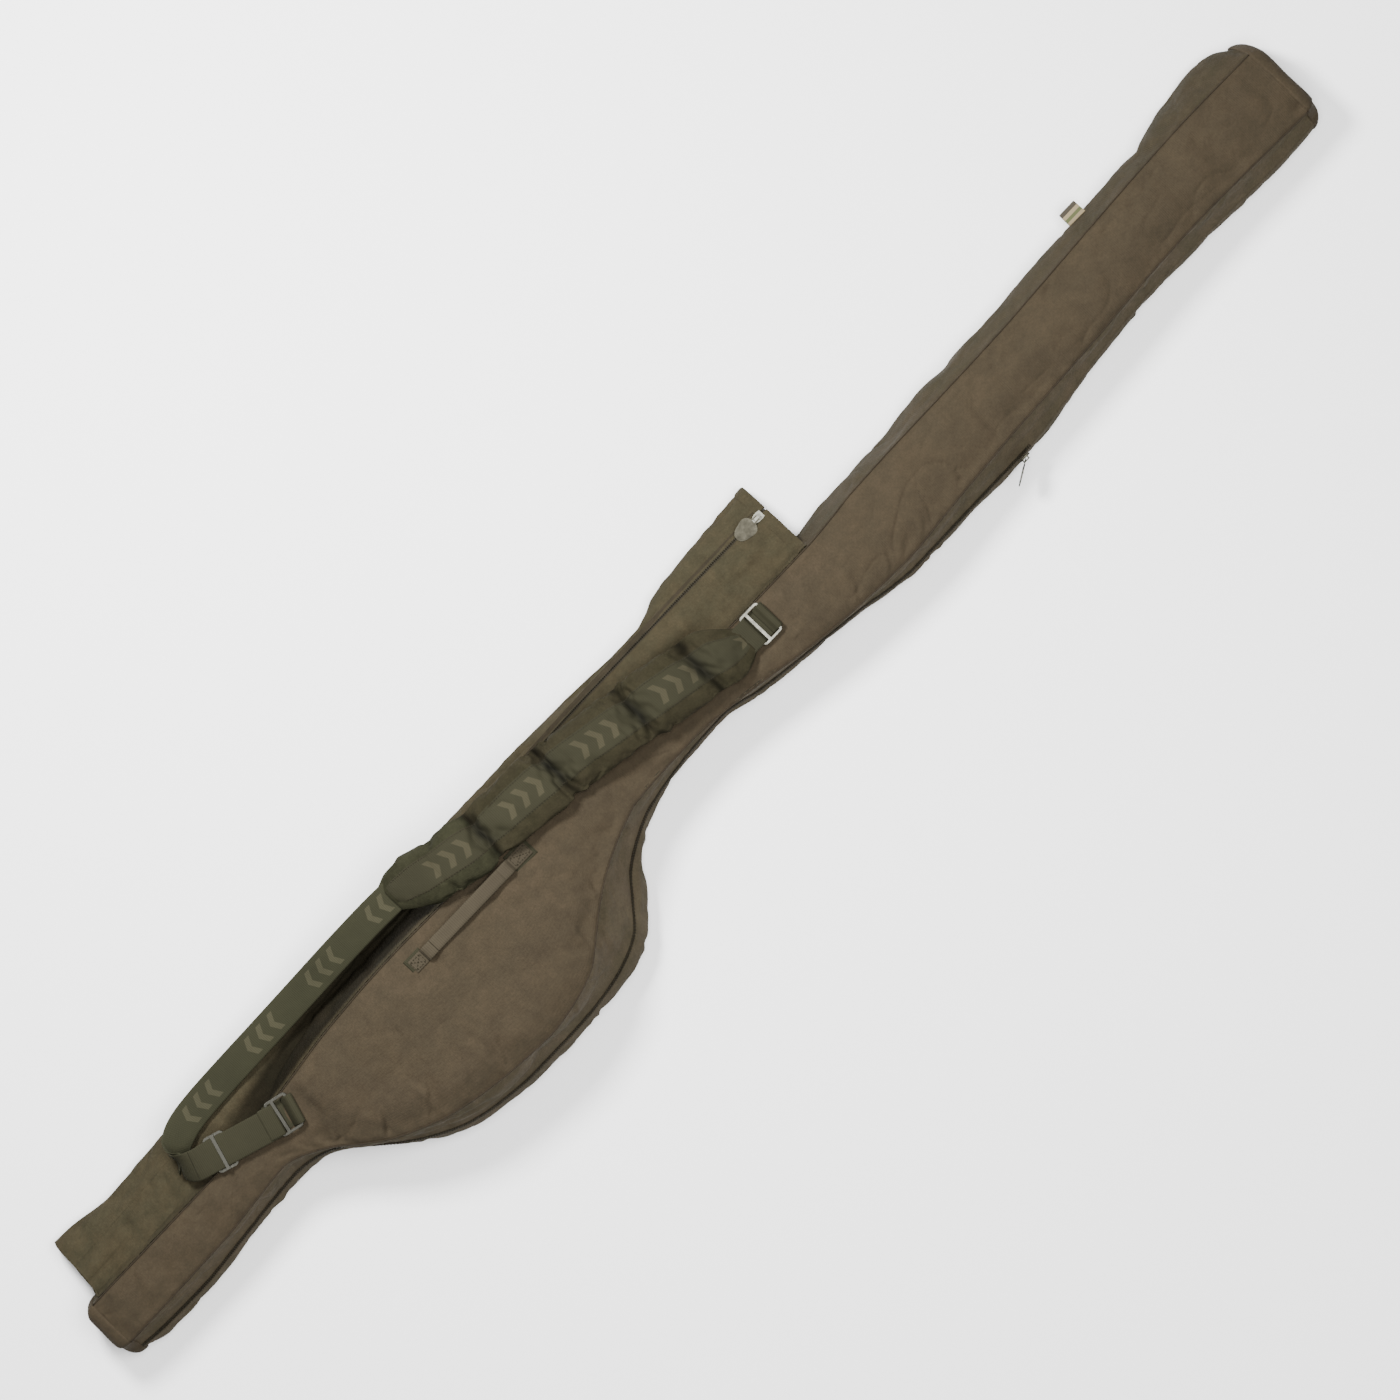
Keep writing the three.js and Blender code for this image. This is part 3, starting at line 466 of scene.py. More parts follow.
def arc_uv(P):
    """u along the rows and v across them from the middle, in metres."""
    du = np.linalg.norm(np.diff(P, axis=0), axis=-1).mean(1)
    dv = np.linalg.norm(np.diff(P, axis=1), axis=-1).mean(0)
    u = np.concatenate([[0], np.cumsum(du)])
    v = np.concatenate([[0], np.cumsum(dv)])
    return np.stack(np.meshgrid(u, v - v[-1] / 2, indexing="ij"), -1)


def quads(n, m, closed=False):
    i = np.arange(n - 1)[:, None]
    j = np.arange(m if closed else m - 1)[None]
    a = i * m + j
    b = i * m + (j + 1) % m
    return np.stack([a, a + m, b + m, b], -1).reshape(-1, 4)


def cloth_sheet(name, P, thick, mats, hint, N=None, uv=None):
    """A piece of cloth from its outer surface P, with the shading of the whole surface it is cut from."""
    n, m = P.shape[:2]
    N = grid_normals(P) if N is None else N
    uv = arc_uv(P) if uv is None else uv
    if (N[n // 2, m // 2] * np.array(hint)).sum() < 0:
        N = -N
    if (grid_normals(P)[n // 2, m // 2] * N[n // 2, m // 2]).sum() < 0:
        P, N, uv = P[:, ::-1], N[:, ::-1], uv[:, ::-1]
    inner = P - N * thick
    verts = np.concatenate([P.reshape(-1, 3), inner.reshape(-1, 3)])
    out = quads(n, m)
    k = n * m
    rim = np.concatenate(
        [
            np.arange(m - 1),
            np.arange(n - 1) * m + m - 1,
            (n - 1) * m + np.arange(m - 1, 0, -1),
            np.arange(n - 1, 0, -1) * m,
        ]
    )
    after = np.roll(rim, -1)
    sides = np.stack([rim, after, after + k, rim + k], -1)
    faces = np.concatenate([out, out[:, ::-1] + k, sides])
    index = np.concatenate([np.zeros(len(out)), np.full(len(out), len(mats) - 1), np.zeros(len(sides))])
    uv = uv.reshape(-1, 2)
    o = make(name, verts, faces, np.concatenate([uv, uv]), mats, index)
    fix_normals(o)
    shade = np.concatenate([N.reshape(-1, 3), -N.reshape(-1, 3)])
    loops = np.zeros(len(o.data.loops), np.int32)
    o.data.loops.foreach_get("vertex_index", loops)
    o.data.normals_split_custom_set(shade[loops].tolist())
    return o


def fix_normals(o):
    """Turns the faces to point outwards."""
    bm = bmesh.new()
    bm.from_mesh(o.data)
    if bm.calc_volume(signed=True) < 0:
        bmesh.ops.reverse_faces(bm, faces=bm.faces)
    bm.to_mesh(o.data)
    bm.free()


def sewn(o, slot, *nodes, body="case"):
    """The piece rides on a body, in place of its CAD nodes, which are hidden. A piece for the flap is not
    attached: its transform is baked into its mesh.
    """
    if body == "reel_flap":
        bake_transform(o)
    else:
        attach(o, body)
    if nodes:
        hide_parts(*nodes)


def rope(name, path, radius, mat, sides=8):
    t = unit(np.gradient(path, axis=0))
    side = unit(np.cross(np.broadcast_to([0, 0, 1.0], t.shape), t))
    a = np.linspace(0, 2 * np.pi, sides, endpoint=False)[None, :, None]
    P = path[:, None] + radius * (side[:, None] * np.cos(a) + np.cross(t, side)[:, None] * np.sin(a))
    return closed_loft(name, P, [mat])


def closed_loft(name, P, mats, uv=None):
    n, m = P.shape[:2]
    faces = quads(n, m, True).tolist()
    faces.append(list(range(m)))
    faces.append(list(range((n - 1) * m, n * m))[::-1])
    if uv is None:
        uv = arc_uv(np.concatenate([P, P[:, :1]], 1))[:, :m].reshape(-1, 2)
    o = make(name, P.reshape(-1, 3), faces, uv, mats)
    fix_normals(o)
    return o


def ribbon(name, path, across, width, thick, mat, wave=0.0, seed=1):
    """Flat webbing with rounded edges. u runs along it and v across it, in metres."""
    t = unit(np.gradient(path, axis=0))
    across = np.broadcast_to(np.asarray(across, float), path.shape)
    side = unit(across - (across * t).sum(-1, keepdims=True) * t)
    up = np.cross(t, side)
    s = np.array([-1, -0.985, -0.9, -0.5, 0, 0.5, 0.9, 0.985])
    h = np.array([0, 0.62, 1, 0.97, 0.95, 0.97, 1, 0.62])
    s, h = np.concatenate([s, -s]) * width / 2, np.concatenate([h, -h]) * thick / 2
    P = path[:, None] + side[:, None] * s[None, :, None] + up[:, None] * h[None, :, None]
    if wave:
        P = P + up[:, None] * (wave * noise(P, 0.03, seed))[..., None]
    uv = np.stack(np.meshgrid(lengths(path), s, indexing="ij"), -1).reshape(-1, 2)
    return closed_loft(name, P, [mat], uv)


def spline(points, count):
    """Evenly spaced points on a smooth line through points."""
    p = np.asarray(points, float)
    q = np.concatenate([[2 * p[0] - p[1]], p, [2 * p[-1] - p[-2]]])
    t = np.linspace(0, 1, 24, endpoint=False)[:, None]
    fine = []
    for a, b, c, e in zip(q, q[1:], q[2:], q[3:]):
        cubic = 2 * b + (c - a) * t + (2 * a - 5 * b + 4 * c - e) * t**2
        fine.append(0.5 * (cubic + (3 * b - a - 3 * c + e) * t**3))
    fine = np.concatenate(fine + [p[-1:]])
    s = lengths(fine)
    return picked(np.linspace(0, s[-1], count), s, fine)


# ---------------------------------------------------------------- the tube's surface
STEP = 0.0035  # between the points of a finished sheet
COARSE = 0.008  # the step of the grid that the stuffing is worked out on
PARTS = {"front": 14, "upper": 7, "lower": 9, "back": 8, "left": 9}  # and its columns
STARTS = dict(zip(PARTS, np.cumsum([0, *PARTS.values()]).tolist()))


def blended(a, b, t):
    return a[:, None] * (1 - t)[None, :, None] + b[:, None] * t[None, :, None]


def bowed(a, b, t, bow):
    """From a to b, bowed outwards: bow is how far, and outwards is to the left of a to b seen along +X."""
    d = unit(b - a)
    n = np.stack([np.zeros(len(d)), d[:, 2], -d[:, 1]], -1)
    return blended(a, b, t) + n[:, None] * (bow * (4 * t * (1 - t)) ** 0.7)[None, :, None]


def through(a, middle, b, t):
    k = 2 * middle - (a + b) / 2
    t = t[None, :, None]
    return (1 - t) ** 2 * a[:, None] + 2 * t * (1 - t) * k[:, None] + t * t * b[:, None]


def tube_part(part, x, t):
    """A part of the tube's outline at x, before it is stuffed; t runs across it from 0 to 1."""
    A, B = front_corner("frontLeft", x), front_corner("frontRight", x)
    C, D, E = corner("zip", x), corner("right", x), corner("backRight", x)
    F, G = corner("backLeft", x), corner("left", x)
    E[:, 2] = F[:, 2] = 0.0006
    if part == "front":
        P = blended(A, B, t)
        d = np.minimum(t, 1 - t)[None] * (A - B)[:, 1][:, None]
        P[..., 2] += 0.0030 * (1 - np.exp(-d / 0.012)) - 0.0012 * np.exp(-d / 0.003)
        return P
    if part == "upper":
        return bowed(B, C, t, -0.0035)
    if part == "lower":
        return through(C, D, E, t)
    if part == "back":
        return blended(E, F, t)
    return through(F, G, A, t)


def stuffed(P, held, pressure, slack, frames, most):
    """How far the points of a closed cloth tube move when it is stuffed. The points in held stay."""
    o = closed_loft("stuffing", P, [])
    pins = o.vertex_groups.new(name="pins")
    pins.add(sorted(set(held)), 1.0, "REPLACE")
    mod = o.modifiers.new("cloth", "CLOTH")
    s = mod.settings
    s.quality = 6
    s.mass = 0.25
    s.tension_stiffness = s.compression_stiffness = 12
    s.shear_stiffness = 6
    s.bending_stiffness = 0.4
    s.use_pressure = True
    s.uniform_pressure_force = pressure
    s.shrink_min = slack
    s.vertex_group_mass = pins.name
    s.effector_weights.gravity = 0
    mod.collision_settings.use_collision = False
    mod.point_cache.frame_start, mod.point_cache.frame_end = 1, frames
    scene = bpy.context.scene
    scene.frame_start, scene.frame_end = 1, frames
    for f in range(1, frames + 1):
        scene.frame_set(f)
    settled = o.evaluated_get(bpy.context.evaluated_depsgraph_get()).data
    co = np.zeros(len(settled.vertices) * 3)
    settled.vertices.foreach_get("co", co)
    scene.frame_set(1)
    bpy.data.objects.remove(o)
    D = co.reshape(P.shape) - P
    size = np.linalg.norm(D, axis=-1, keepdims=True)
    return D * np.minimum(1, most / np.maximum(size, 1e-9))


def puffed():
    """How the cloth of the tube settles when it is stuffed: a field over the coarse grid."""
    x = np.arange(X0, X1 + COARSE * 0.5, COARSE)
    rings = [tube_part(part, x, np.linspace(0, 1, n, endpoint=False)) for part, n in PARTS.items()]
    P = np.concatenate(rings, 1)
    n, m = P.shape[:2]
    back = STARTS["back"]
    seams = [*STARTS.values(), *range(back, back + PARTS["back"] + 1)]
    ends = [*range(m), *range((n - 1) * m, n * m)]
    D = stuffed(P, [i * m + j % m for i in range(n) for j in seams] + ends, 3.5, -0.022, 22, 0.007)
    for _ in range(2):
        D[1:-1] = (D[:-2] + 2 * D[1:-1] + D[2:]) / 4
    return D, x


FIELD, FIELD_X = puffed()
WRAPPED = np.concatenate([FIELD, FIELD[:, :1]], 1)


def quiet(P):
    """0 on the cloth under what is sewn to the front, and 1 away from it."""
    q = np.ones(P.shape[:-1])
    for name in ("handle_patch_butt", "handle_patch_tip", "upper_strap_tab", "lower_strap_tab"):
        lo, hi = (np.array(end)[:2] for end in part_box(name))
        beyond = np.maximum(np.abs(P[..., :2] - (lo + hi) / 2) - (hi - lo) / 2, 0)
        q = np.minimum(q, ramp(np.hypot(*np.moveaxis(beyond, -1, 0)), 0.003, 0.022))
    return np.where(P[..., 2] > 0.05, q, 1.0)


def lies(part, P):
    """The outward normals of a part of the tube."""
    N = grid_normals(P)
    axis, sign = {"front": (2, 1), "upper": (1, -1), "lower": (1, -1), "back": (2, -1), "left": (1, 1)}[part]
    return N if N[len(P) // 2, P.shape[1] // 2, axis] * sign > 0 else -N


def seam_creases(part, P):
    """The folds that gather where the reel's bulge meets the straight tube, and a few elsewhere."""
    flat = P[..., [0, 1]] if part == "front" else P[..., [0, 2]]
    if part == "front":
        right, left = TUBE["frontRight"][0], TUBE["frontLeft"][0]
        sets = [
            crease_set(-0.60, -0.40, right, 1.0, 9, 5, (0.035, 0.11), spread=0.7),
            crease_set(-0.34, -0.16, right, 2.1, 7, 6, (0.03, 0.08), spread=0.6),
            crease_set(-0.68, -0.62, right, 1.9, 4, 7, (0.02, 0.06)),
            crease_set(-0.15, 0.95, right, 1.57, 16, 8, (0.02, 0.07), (0.0005, 0.0015), 1.1),
            crease_set(-0.95, 0.95, left, -1.57, 22, 9, (0.02, 0.07), (0.0005, 0.0016), 1.1),
        ]
    else:
        top = TUBE["frontZ"] if part in ("upper", "left") else (lambda x: 0.0 * x + 0.004)
        heading = -1.57 if part in ("upper", "left") else 1.57
        sets = [
            crease_set(-0.66, -0.14, top, heading, 22, 11, (0.02, 0.06), (0.0008, 0.0024), 0.7),
            crease_set(-0.95, 0.95, top, heading, 34, 12, (0.015, 0.05), (0.0006, 0.0020), 0.9),
        ]
    return sum(creases(flat, *one) for one in sets)


def surface(part, x, t, rough=1.0):
    """The finished surface of a part of the tube: stuffed, creased and puckered beside its seams."""
    P = tube_part(part, x, t)
    still = quiet(P)
    swollen = still
    if part == "left":  # up to P1 the pocket covers the left side
        swollen = still * ramp(P[..., 0], P1, P1 + 0.05)
    elif part in ("upper", "lower"):
        from_zip = (1 - t if part == "upper" else t)[None] * widths(P)
        swollen = still * ramp(from_zip, 0.010, 0.028)
    field = sample(WRAPPED, (x - FIELD_X[0]) / COARSE, STARTS[part] + t * PARTS[part])
    P = P + field * swollen[..., None]
    N = lies(part, P)
    d0, d1 = t[None] * widths(P), (1 - t)[None] * widths(P)
    d = np.minimum(d0, d1)
    big = 0.0022 * noise(P, (0.12, 0.06, 0.06), 3) + 0.0014 * noise(P, (0.05, 0.035, 0.035), 4)
    warp = P + 0.03 * noise(P, 0.09, 8)[..., None]
    sharp = 0.0018 * fold(warp, (0.10, 0.06, 0.06), 5, 5) + 0.0012 * fold(warp, (0.05, 0.035, 0.035), 9, 6)
    h = ramp(d, 0.001, 0.014) * (big - sharp) + ramp(d, 0.002, 0.010) * seam_creases(part, P)
    phase = 2 * np.pi * (P[..., 0] / 0.019 + 1.4 * noise(P, 0.07, 6))
    near = np.exp(-d / 0.010) * (1 - np.exp(-d / 0.003))
    h = h + 0.0005 * np.sin(phase) * near * (0.6 + 0.6 * noise(P, 0.12, 7))
    P = P + N * (rough * still * h)[..., None]
    if part in ("upper", "left"):  # the edge lies under the front panel's, behind the piping
        P[..., 2] -= 0.0018 * np.exp(-(d0 if part == "upper" else d1) / 0.003)
    return P


def along(a, b, step=STEP):
    return np.linspace(a, b, max(2, int(round((b - a) / step)) + 1))


GUSSET_GAP = 0.0021  # the cloth stops this far from the zip's middle


def side_range(part, x, gap):
    """The share of the part's width that the gap takes, at each x."""
    return gap / widths(tube_part(part, x, np.linspace(0, 1, 9)))[:, 0]


def trimmed(part, x, t):
    """A side whose edge beside the zip keeps its distance from the zip's middle."""
    full = surface(part, x, t)
    share = side_range(part, x, np.where(x < ZIP_END - 0.004, GUSSET_GAP, 0.0002))
    start = share * (part == "lower")
    P = np.stack([picked(a + t * (1 - gap), t, row) for a, gap, row in zip(start, share, full)])
    return clear_of_slider(P)


def clear_of_slider(P):
    """The cloth lies just behind the main slider all along its path."""
    low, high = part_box("main_zip_slider")
    reach = JOINTS["main_slider_slide"]["range_m"][1]
    near = (P[..., 0] > low.x - reach - 0.005) & (P[..., 0] < high.x + 0.005)
    near &= (P[..., 2] > low.z - 0.002) & (P[..., 2] < high.z + 0.002)
    P[near, 1] = np.maximum(P[near, 1], high.y + 0.0003)
    return P


def tube_rows():
    """Stations along the tube, with one at each end of the flap, and the numbers of those two."""
    a, b, c = along(X0, FLAP0), along(FLAP0, FLAP1), along(FLAP1, X1)
    return np.concatenate([a[:-1], b[:-1], c]), len(a) - 1, len(a) + len(b) - 2


def tucked(P, x):
    """Under the pocket, the left side keeps clear of the pocket's cloth."""
    a, c = pocket_seam(x), pocket_corner("valley", x) - [0, 0, 0.002]
    b = a * 0.58 + c * 0.42 - [0, 0, 0.009]
    for i in np.nonzero((x > P0) & (x < P1))[0]:
        line = spline([a[i], b[i], c[i]], 40)
        line = line[line[:, 2].argsort()]
        limit = np.interp(P[i, :, 2], line[:, 2], line[:, 1]) - 0.0055
        above = P[i, :, 2] > c[i, 2] - 0.022
        P[i, above, 1] = np.minimum(P[i, above, 1], limit[above])
    return P


def build_tube():
    x, i0, i1 = tube_rows()
    cuts = {"butt": slice(0, i0 + 1), "mid": slice(i0, i1 + 1), "tip": slice(i1, None)}
    front = surface("front", x, np.linspace(0, 1, 55))
    upper = trimmed("upper", x, np.linspace(0, 1, 26))
    lower = trimmed("lower", x, np.linspace(0, 1, 34))
    left = tucked(surface("left", x, np.linspace(0, 1, 30)), x)
    back = tube_part("back", x, np.linspace(0, 1, 30))
    back[..., 2] = 0.0003 + 0.0003 * (1 + noise(back, 0.05, 9))
    sheets = {}
    for key, P, mat, hint, thick in (
        ("front", front, SHELL, (0, 0, 1), 0.007),
        ("upper", upper, RIGHT_SIDE_LIT, (0, -1, 0.3), 0.0035),
    ):
        N, uv = lies(key, P), arc_uv(P)
        for where, cut in cuts.items():
            name = key + "_" + where
            sheets[name] = cloth_sheet(name + "_cloth", P[cut], thick, [mat, LINING], hint, N[cut], uv[cut])
    sheets["lower"] = cloth_sheet("lower_side", lower, 0.0035, [RIGHT_SIDE_LIT, LINING], (0, -1, -0.2))
    sheets["left"] = cloth_sheet("left_side", left, 0.0035, [SIDE, LINING], (0, 1, 0.2))
    sheets["back"] = cloth_sheet("back_cloth", back, 0.008, [SIDE, LINING], (0, 0, -1))
    for name, nodes in {
        "front_butt": ["front_panel_butt"],
        "front_mid": ["reel_flap_panel", "reel_flap_foam"],
        "front_tip": ["front_panel_tip", "front_foam"],
        "upper_butt": ["right_upper_gusset_butt"],
        "upper_mid": ["reel_flap_gusset"],
        "upper_tip": ["right_upper_gusset_tip"],
        "lower": ["right_lower_gusset"],
        "left": LEFT,
        "back": ["back_panel", "back_foam"],
    }.items():
        sewn(sheets[name], "shell_cloth", *nodes, body="reel_flap" if "mid" in name else "case")


def build_piping():
    for key, side, a, b, node in (
        ("left", "frontLeft", X0, X1, "front_piping_left"),
        ("butt", "frontRight", X0, FLAP0, "front_piping_butt"),
        ("tip", "frontRight", FLAP1, X1, "front_piping_tip"),
        ("flap", "frontRight", FLAP0, FLAP1, "reel_flap_piping"),
    ):
        path = front_corner(side, along(a, b, 0.004)) - [0, 0, 0.0006]
        o = rope("piping_" + key, path, 0.0010, TRIM)
        sewn(o, "trim_cloth", node, body="reel_flap" if key == "flap" else "case")


def tape_surface(part, x, from_zip):
    """Points beside the main zip, from_zip metres away from its middle on the part's surface."""
    t = side_range(part, x, 1.0)[:, None] * from_zip
    if part == "upper":
        t = 1 - t
    P = np.stack([tube_part(part, x[i : i + 1], t[i])[0] for i in range(len(x))])
    return P, lies(part, P)


def zip_half(name, a, b, part, node, body="case"):
    P, N = tape_surface(part, along(a, b), np.array([0.0003, 0.0018, 0.0035, 0.0055]))
    P = P - N * np.array([0.0006, 0.0007, 0.0016, 0.0024])[None, :, None]  # it dips under the cloth's edge
    tape = cloth_sheet(name + "_tape", P, 0.0008, [TAPE_CLOTH], (0, -1, 0.1))
    P, N = tape_surface(part, along(a, b, TOOTH), np.array([0.0005, 0.0012, 0.0024]))
    teeth = coil(name + "_teeth", P[:, 1] + N[:, 1] * 0.0004, unit(P[:, 2] - P[:, 0]), N[:, 1])
    sewn(tape, "zip_nylon", node, body=body)
    sewn(teeth, "zip_nylon", body=body)


TOOTH = 0.0027  # from one tooth of a zip to the next


def coil(name, centre, side, up):
    """A zip's teeth, one small block at each centre."""
    heading = unit(np.gradient(centre, axis=0))
    return blocks(name, centre, heading, side, up, (0.0009, 0.0011, 0.0009), COIL)


def blocks(name, centre, a, b, c, size, mat):
    """Small rounded blocks, one at each centre, with half sizes along a, b and c."""
    base = np.array([[i, j, k] for i in (-1, 1) for j in (-1, 1) for k in (-1, 1)], float)
    base[base[:, 2] > 0, :2] *= 0.7
    V = centre[:, None]
    for k, axis in enumerate((a, b, c)):
        V = V + base[None, :, k, None] * size[k] * np.broadcast_to(axis, centre.shape)[:, None]
    f = np.array([[0, 1, 3, 2], [4, 6, 7, 5], [0, 4, 5, 1], [2, 3, 7, 6], [0, 2, 6, 4], [1, 5, 7, 3]])
    F = (np.arange(len(centre))[:, None, None] * 8 + f[None]).reshape(-1, 4)
    return make(name, V.reshape(-1, 3), F, np.zeros((len(V) * 8, 2)), [mat], smooth_shade=False)


def build_main_zip():
    zip_half("zip_lower", X0, ZIP_END, "lower", "main_zip_lower_half")
    zip_half("zip_upper_butt", X0, FLAP0, "upper", "main_zip_upper_half_butt")
    zip_half("zip_upper_flap", FLAP0, FLAP1, "upper", "reel_flap_zip_half", "reel_flap")
    zip_half("zip_upper_tip", FLAP1, ZIP_END, "upper", "main_zip_upper_half_tip")


def build_caps():
    for name, node, x, sign in (("butt_end", "butt_cap", X0, -1), ("tip_end", "tip_cap", X1, 1)):
        loop = []
        for part in PARTS:
            t = np.linspace(0, 1, 18 if part == "front" else 12, endpoint=False)
            loop.append(surface(part, np.array([x, x + 1e-5]), t, rough=0)[0])
        loop = np.concatenate(loop)
        low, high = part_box(node)
        reach = high.x - x if sign > 0 else x - low.x
        middle = (loop.min(0) + loop.max(0)) / 2
        half = (loop.max(0) - loop.min(0)) / 2
        rings = []
        for a in np.linspace(0, np.pi / 2, 9):
            inset = 0.017 * (1 - np.cos(a)) / half
            ring = middle + (loop - middle) * [1, 1 - inset[1], 1 - inset[2]]
            ring[:, 0] = x + sign * reach * 0.86 * np.sin(a)
            rings.append(ring)
        for f in (0.75, 0.5, 0.25, 0.08):
            ring = middle + (rings[8] - middle) * [1, f, f]
            ring[:, 0] = x + sign * reach * (0.86 + 0.14 * (1 - f * f))
            rings.append(ring)
        P = np.stack(rings)
        P[..., 2] = np.maximum(P[..., 2], 0.0004)
        N = unit(P - middle + [sign * 0.03, 0, 0])
        dents = 0.0012 * noise(P, 0.03, 21) * ramp(np.arange(len(P)), 0, 3)[:, None]
        sewn(closed_loft(name, P + N * dents[..., None], [SHELL]), "shell_cloth", node)


# ---------------------------------------------------------------- outside pocket
def read_pocket():
    out = {}
    top, valley, edge = [], [], []
    for p in stations("pocket_inner_panel"):
        up = p[p[:, 2].argsort()]
        top.append(max(up[-2:], key=lambda q: q[1]))
        far = p[p[:, 1].argsort()][-2:]
        edge.append(max(far, key=lambda q: q[2]))
        rest = [q for q in p if not any(np.allclose(q, s) for s in list(up[-2:]) + list(far))]
        valley.append(max(rest, key=lambda q: q[1] + q[2]))
    out["top"], out["valley"], out["inner"] = curves(top), curves(valley), curves(edge)
    low, mid, high = [], [], []
    for p in stations("pocket_outer_panel"):
        low.append(p[p[:, 1].argmax()])
        z = p[:, 2].argsort()
        high.append(max(p[z[-2:]], key=lambda q: q[1]))
        mid.append(max(p[z[2:4]], key=lambda q: q[1]))
    out["edge"], out["shoulder"], out["outer"] = curves(low), curves(mid), curves(high)
    back0, back1 = [], []
    for p in stations("pocket_back_panel"):
        floor = p[p[:, 2] < 0.0008]
        back0.append(floor[floor[:, 1].argmin()])
        back1.append(floor[floor[:, 1].argmax()])
    out["back0"], out["back1"] = curves(back0), curves(back1)
    return out


SLEEVE = read_pocket()


def pocket_corner(name, x):
    y, z = SLEEVE[name]
    return np.stack([x, y(x), z(x)], -1)


def pocket_seam(x):
    """Where the pocket is sewn to the tube, beside the front panel's left edge."""
    return front_corner("frontLeft", x) + [0, 0.0018, -0.0025]


def pocket_line(name, dy=0.0, dz=0.0):
    return lambda x: pocket_corner(name, x) + [0, dy, dz]


def between(a, b, share, dz=0.0):
    return lambda x: a(x) * (1 - share) + b(x) * share + [0, 0, dz]


def zip_edge(side):
    """The cloth's edge on one side of the pocket's zip, 1 or -1, or the zip's middle for 0."""

    def at(x):
        middle = (pocket_corner("inner", x) + pocket_corner("outer", x)) / 2
        return middle + np.stack([0 * x, side * np.where(x < PZ, 0.0001, 0.0017), 0 * x + 0.0008], -1)

    return at


def past_mouth(line):
    """The line, which goes on straight past the pocket's mouth."""
    return lambda x: line(np.minimum(x, P1)) * [0, 1, 1] + np.stack([x, 0 * x, 0 * x], -1)


def lofted(lines, x, count, hint):
    """Cloth through lines that run along the pocket, and its outward normals."""
    P = np.stack([spline(row, count) for row in np.stack([line(x) for line in lines], 1)])
    N = grid_normals(P)
    return P, N if N[len(x) // 2, count // 2] @ np.array(hint) > 0 else -N


def pocket_sheet(name, lines, mat, hint, count, seed, rough):
    P, N = lofted(lines, along(P0, P1), count, hint)
    t = np.linspace(0, 1, count)[None]
    d = np.minimum(t, 1 - t) * widths(P) / 0.004
    h = 0.0022 * noise(P, (0.09, 0.035, 0.035), seed) + 0.0011 * noise(P, (0.035, 0.02, 0.02), seed + 1)
    warp = P + 0.03 * noise(P, 0.08, seed + 2)[..., None]
    h = h - 0.0030 * fold(warp, (0.11, 0.05, 0.05), seed + 3, 4)
    phase = 2 * np.pi * (P[..., 0] / 0.026 + noise(P, 0.06, seed + 4))
    h = h + 0.0012 * np.sin(phase) * np.exp(-d * 0.25) * (1 - np.exp(-d))
    P = P + N * (rough * ramp(d, 0, 3) * h)[..., None]
    P[..., 2] = np.maximum(P[..., 2], 0.0003)
    return cloth_sheet(name, P, 0.0016, [mat, LINING], hint)


def build_pocket():
    valley, shoulder = pocket_line("valley"), pocket_line("shoulder")
    back0, back1 = pocket_line("back0"), pocket_line("back1")
    inner = [
        pocket_seam,
        between(pocket_seam, valley, 0.42, -0.009),
        pocket_line("valley", 0, -0.002),
        between(valley, zip_edge(-1), 0.5, 0.002),
        zip_edge(-1),
    ]
    outer = [
        zip_edge(1),
        between(zip_edge(1), shoulder, 0.5, 0.0015),
        pocket_line("shoulder", 0.001),
        pocket_line("edge", 0, 0.004),
        pocket_line("edge", -0.0005, -0.003),
    ]
    back = [
        back0,
        between(back0, back1, 0.5),
        back1,
        pocket_line("edge", -0.0075, -0.0125),
        pocket_line("edge", -0.0005, -0.0045),
    ]
    for key, lines, mat, hint, count, seed, rough, nodes in (
        ("inner", inner, POCKET, (0, 0.3, 1), 34, 31, 1, ["pocket_inner_panel", "pocket_seam_tape"]),
        ("outer", outer, POCKET, (0, 1, 0.5), 22, 41, 1, ["pocket_outer_panel"]),
        ("back", back, SIDE, (0, 0, -1), 24, 51, 0.25, ["pocket_back_panel"]),
    ):
        o = pocket_sheet("pocket_" + key, lines, mat, hint, count, seed, rough)
        # painted shade in the deep fold of the pocket's inner panel
        if key == "inner":
            paint_valley_shade(o)
        sewn(o, "shell_cloth", *nodes)
        hem(key, [past_mouth(line) for line in lines], hint, count)
    pocket_zip_tape("pocket_zip_inner", -1)
    pocket_zip_tape("pocket_zip_outer", 1)
    close_pocket()


def points_of(o):
    return np.array([v.co for v in o.data.vertices])


def painted_shade(o, level):
    """Painted shade on a piece, from 0 to 1 at each of its points."""
    o.data.attributes.new("painted_shade", "FLOAT", "POINT").data.foreach_set("value", level.astype(np.float32))


def paint_valley_shade(o):
    """Painted shade deep in the fold between the tube and the pocket, where the shadow falls."""
    x, y, _ = points_of(o).T
    y0, y1 = pocket_seam(x)[:, 1], pocket_corner("valley", x)[:, 1]
    inside = ramp(y, y0, y0 + 0.005) * (1 - ramp(y, y1 + 0.003, y1 + 0.020))
    painted_shade(o, 0.76 * inside * ramp(x, -0.76, -0.66) * (1 - ramp(x, -0.30, -0.02)))


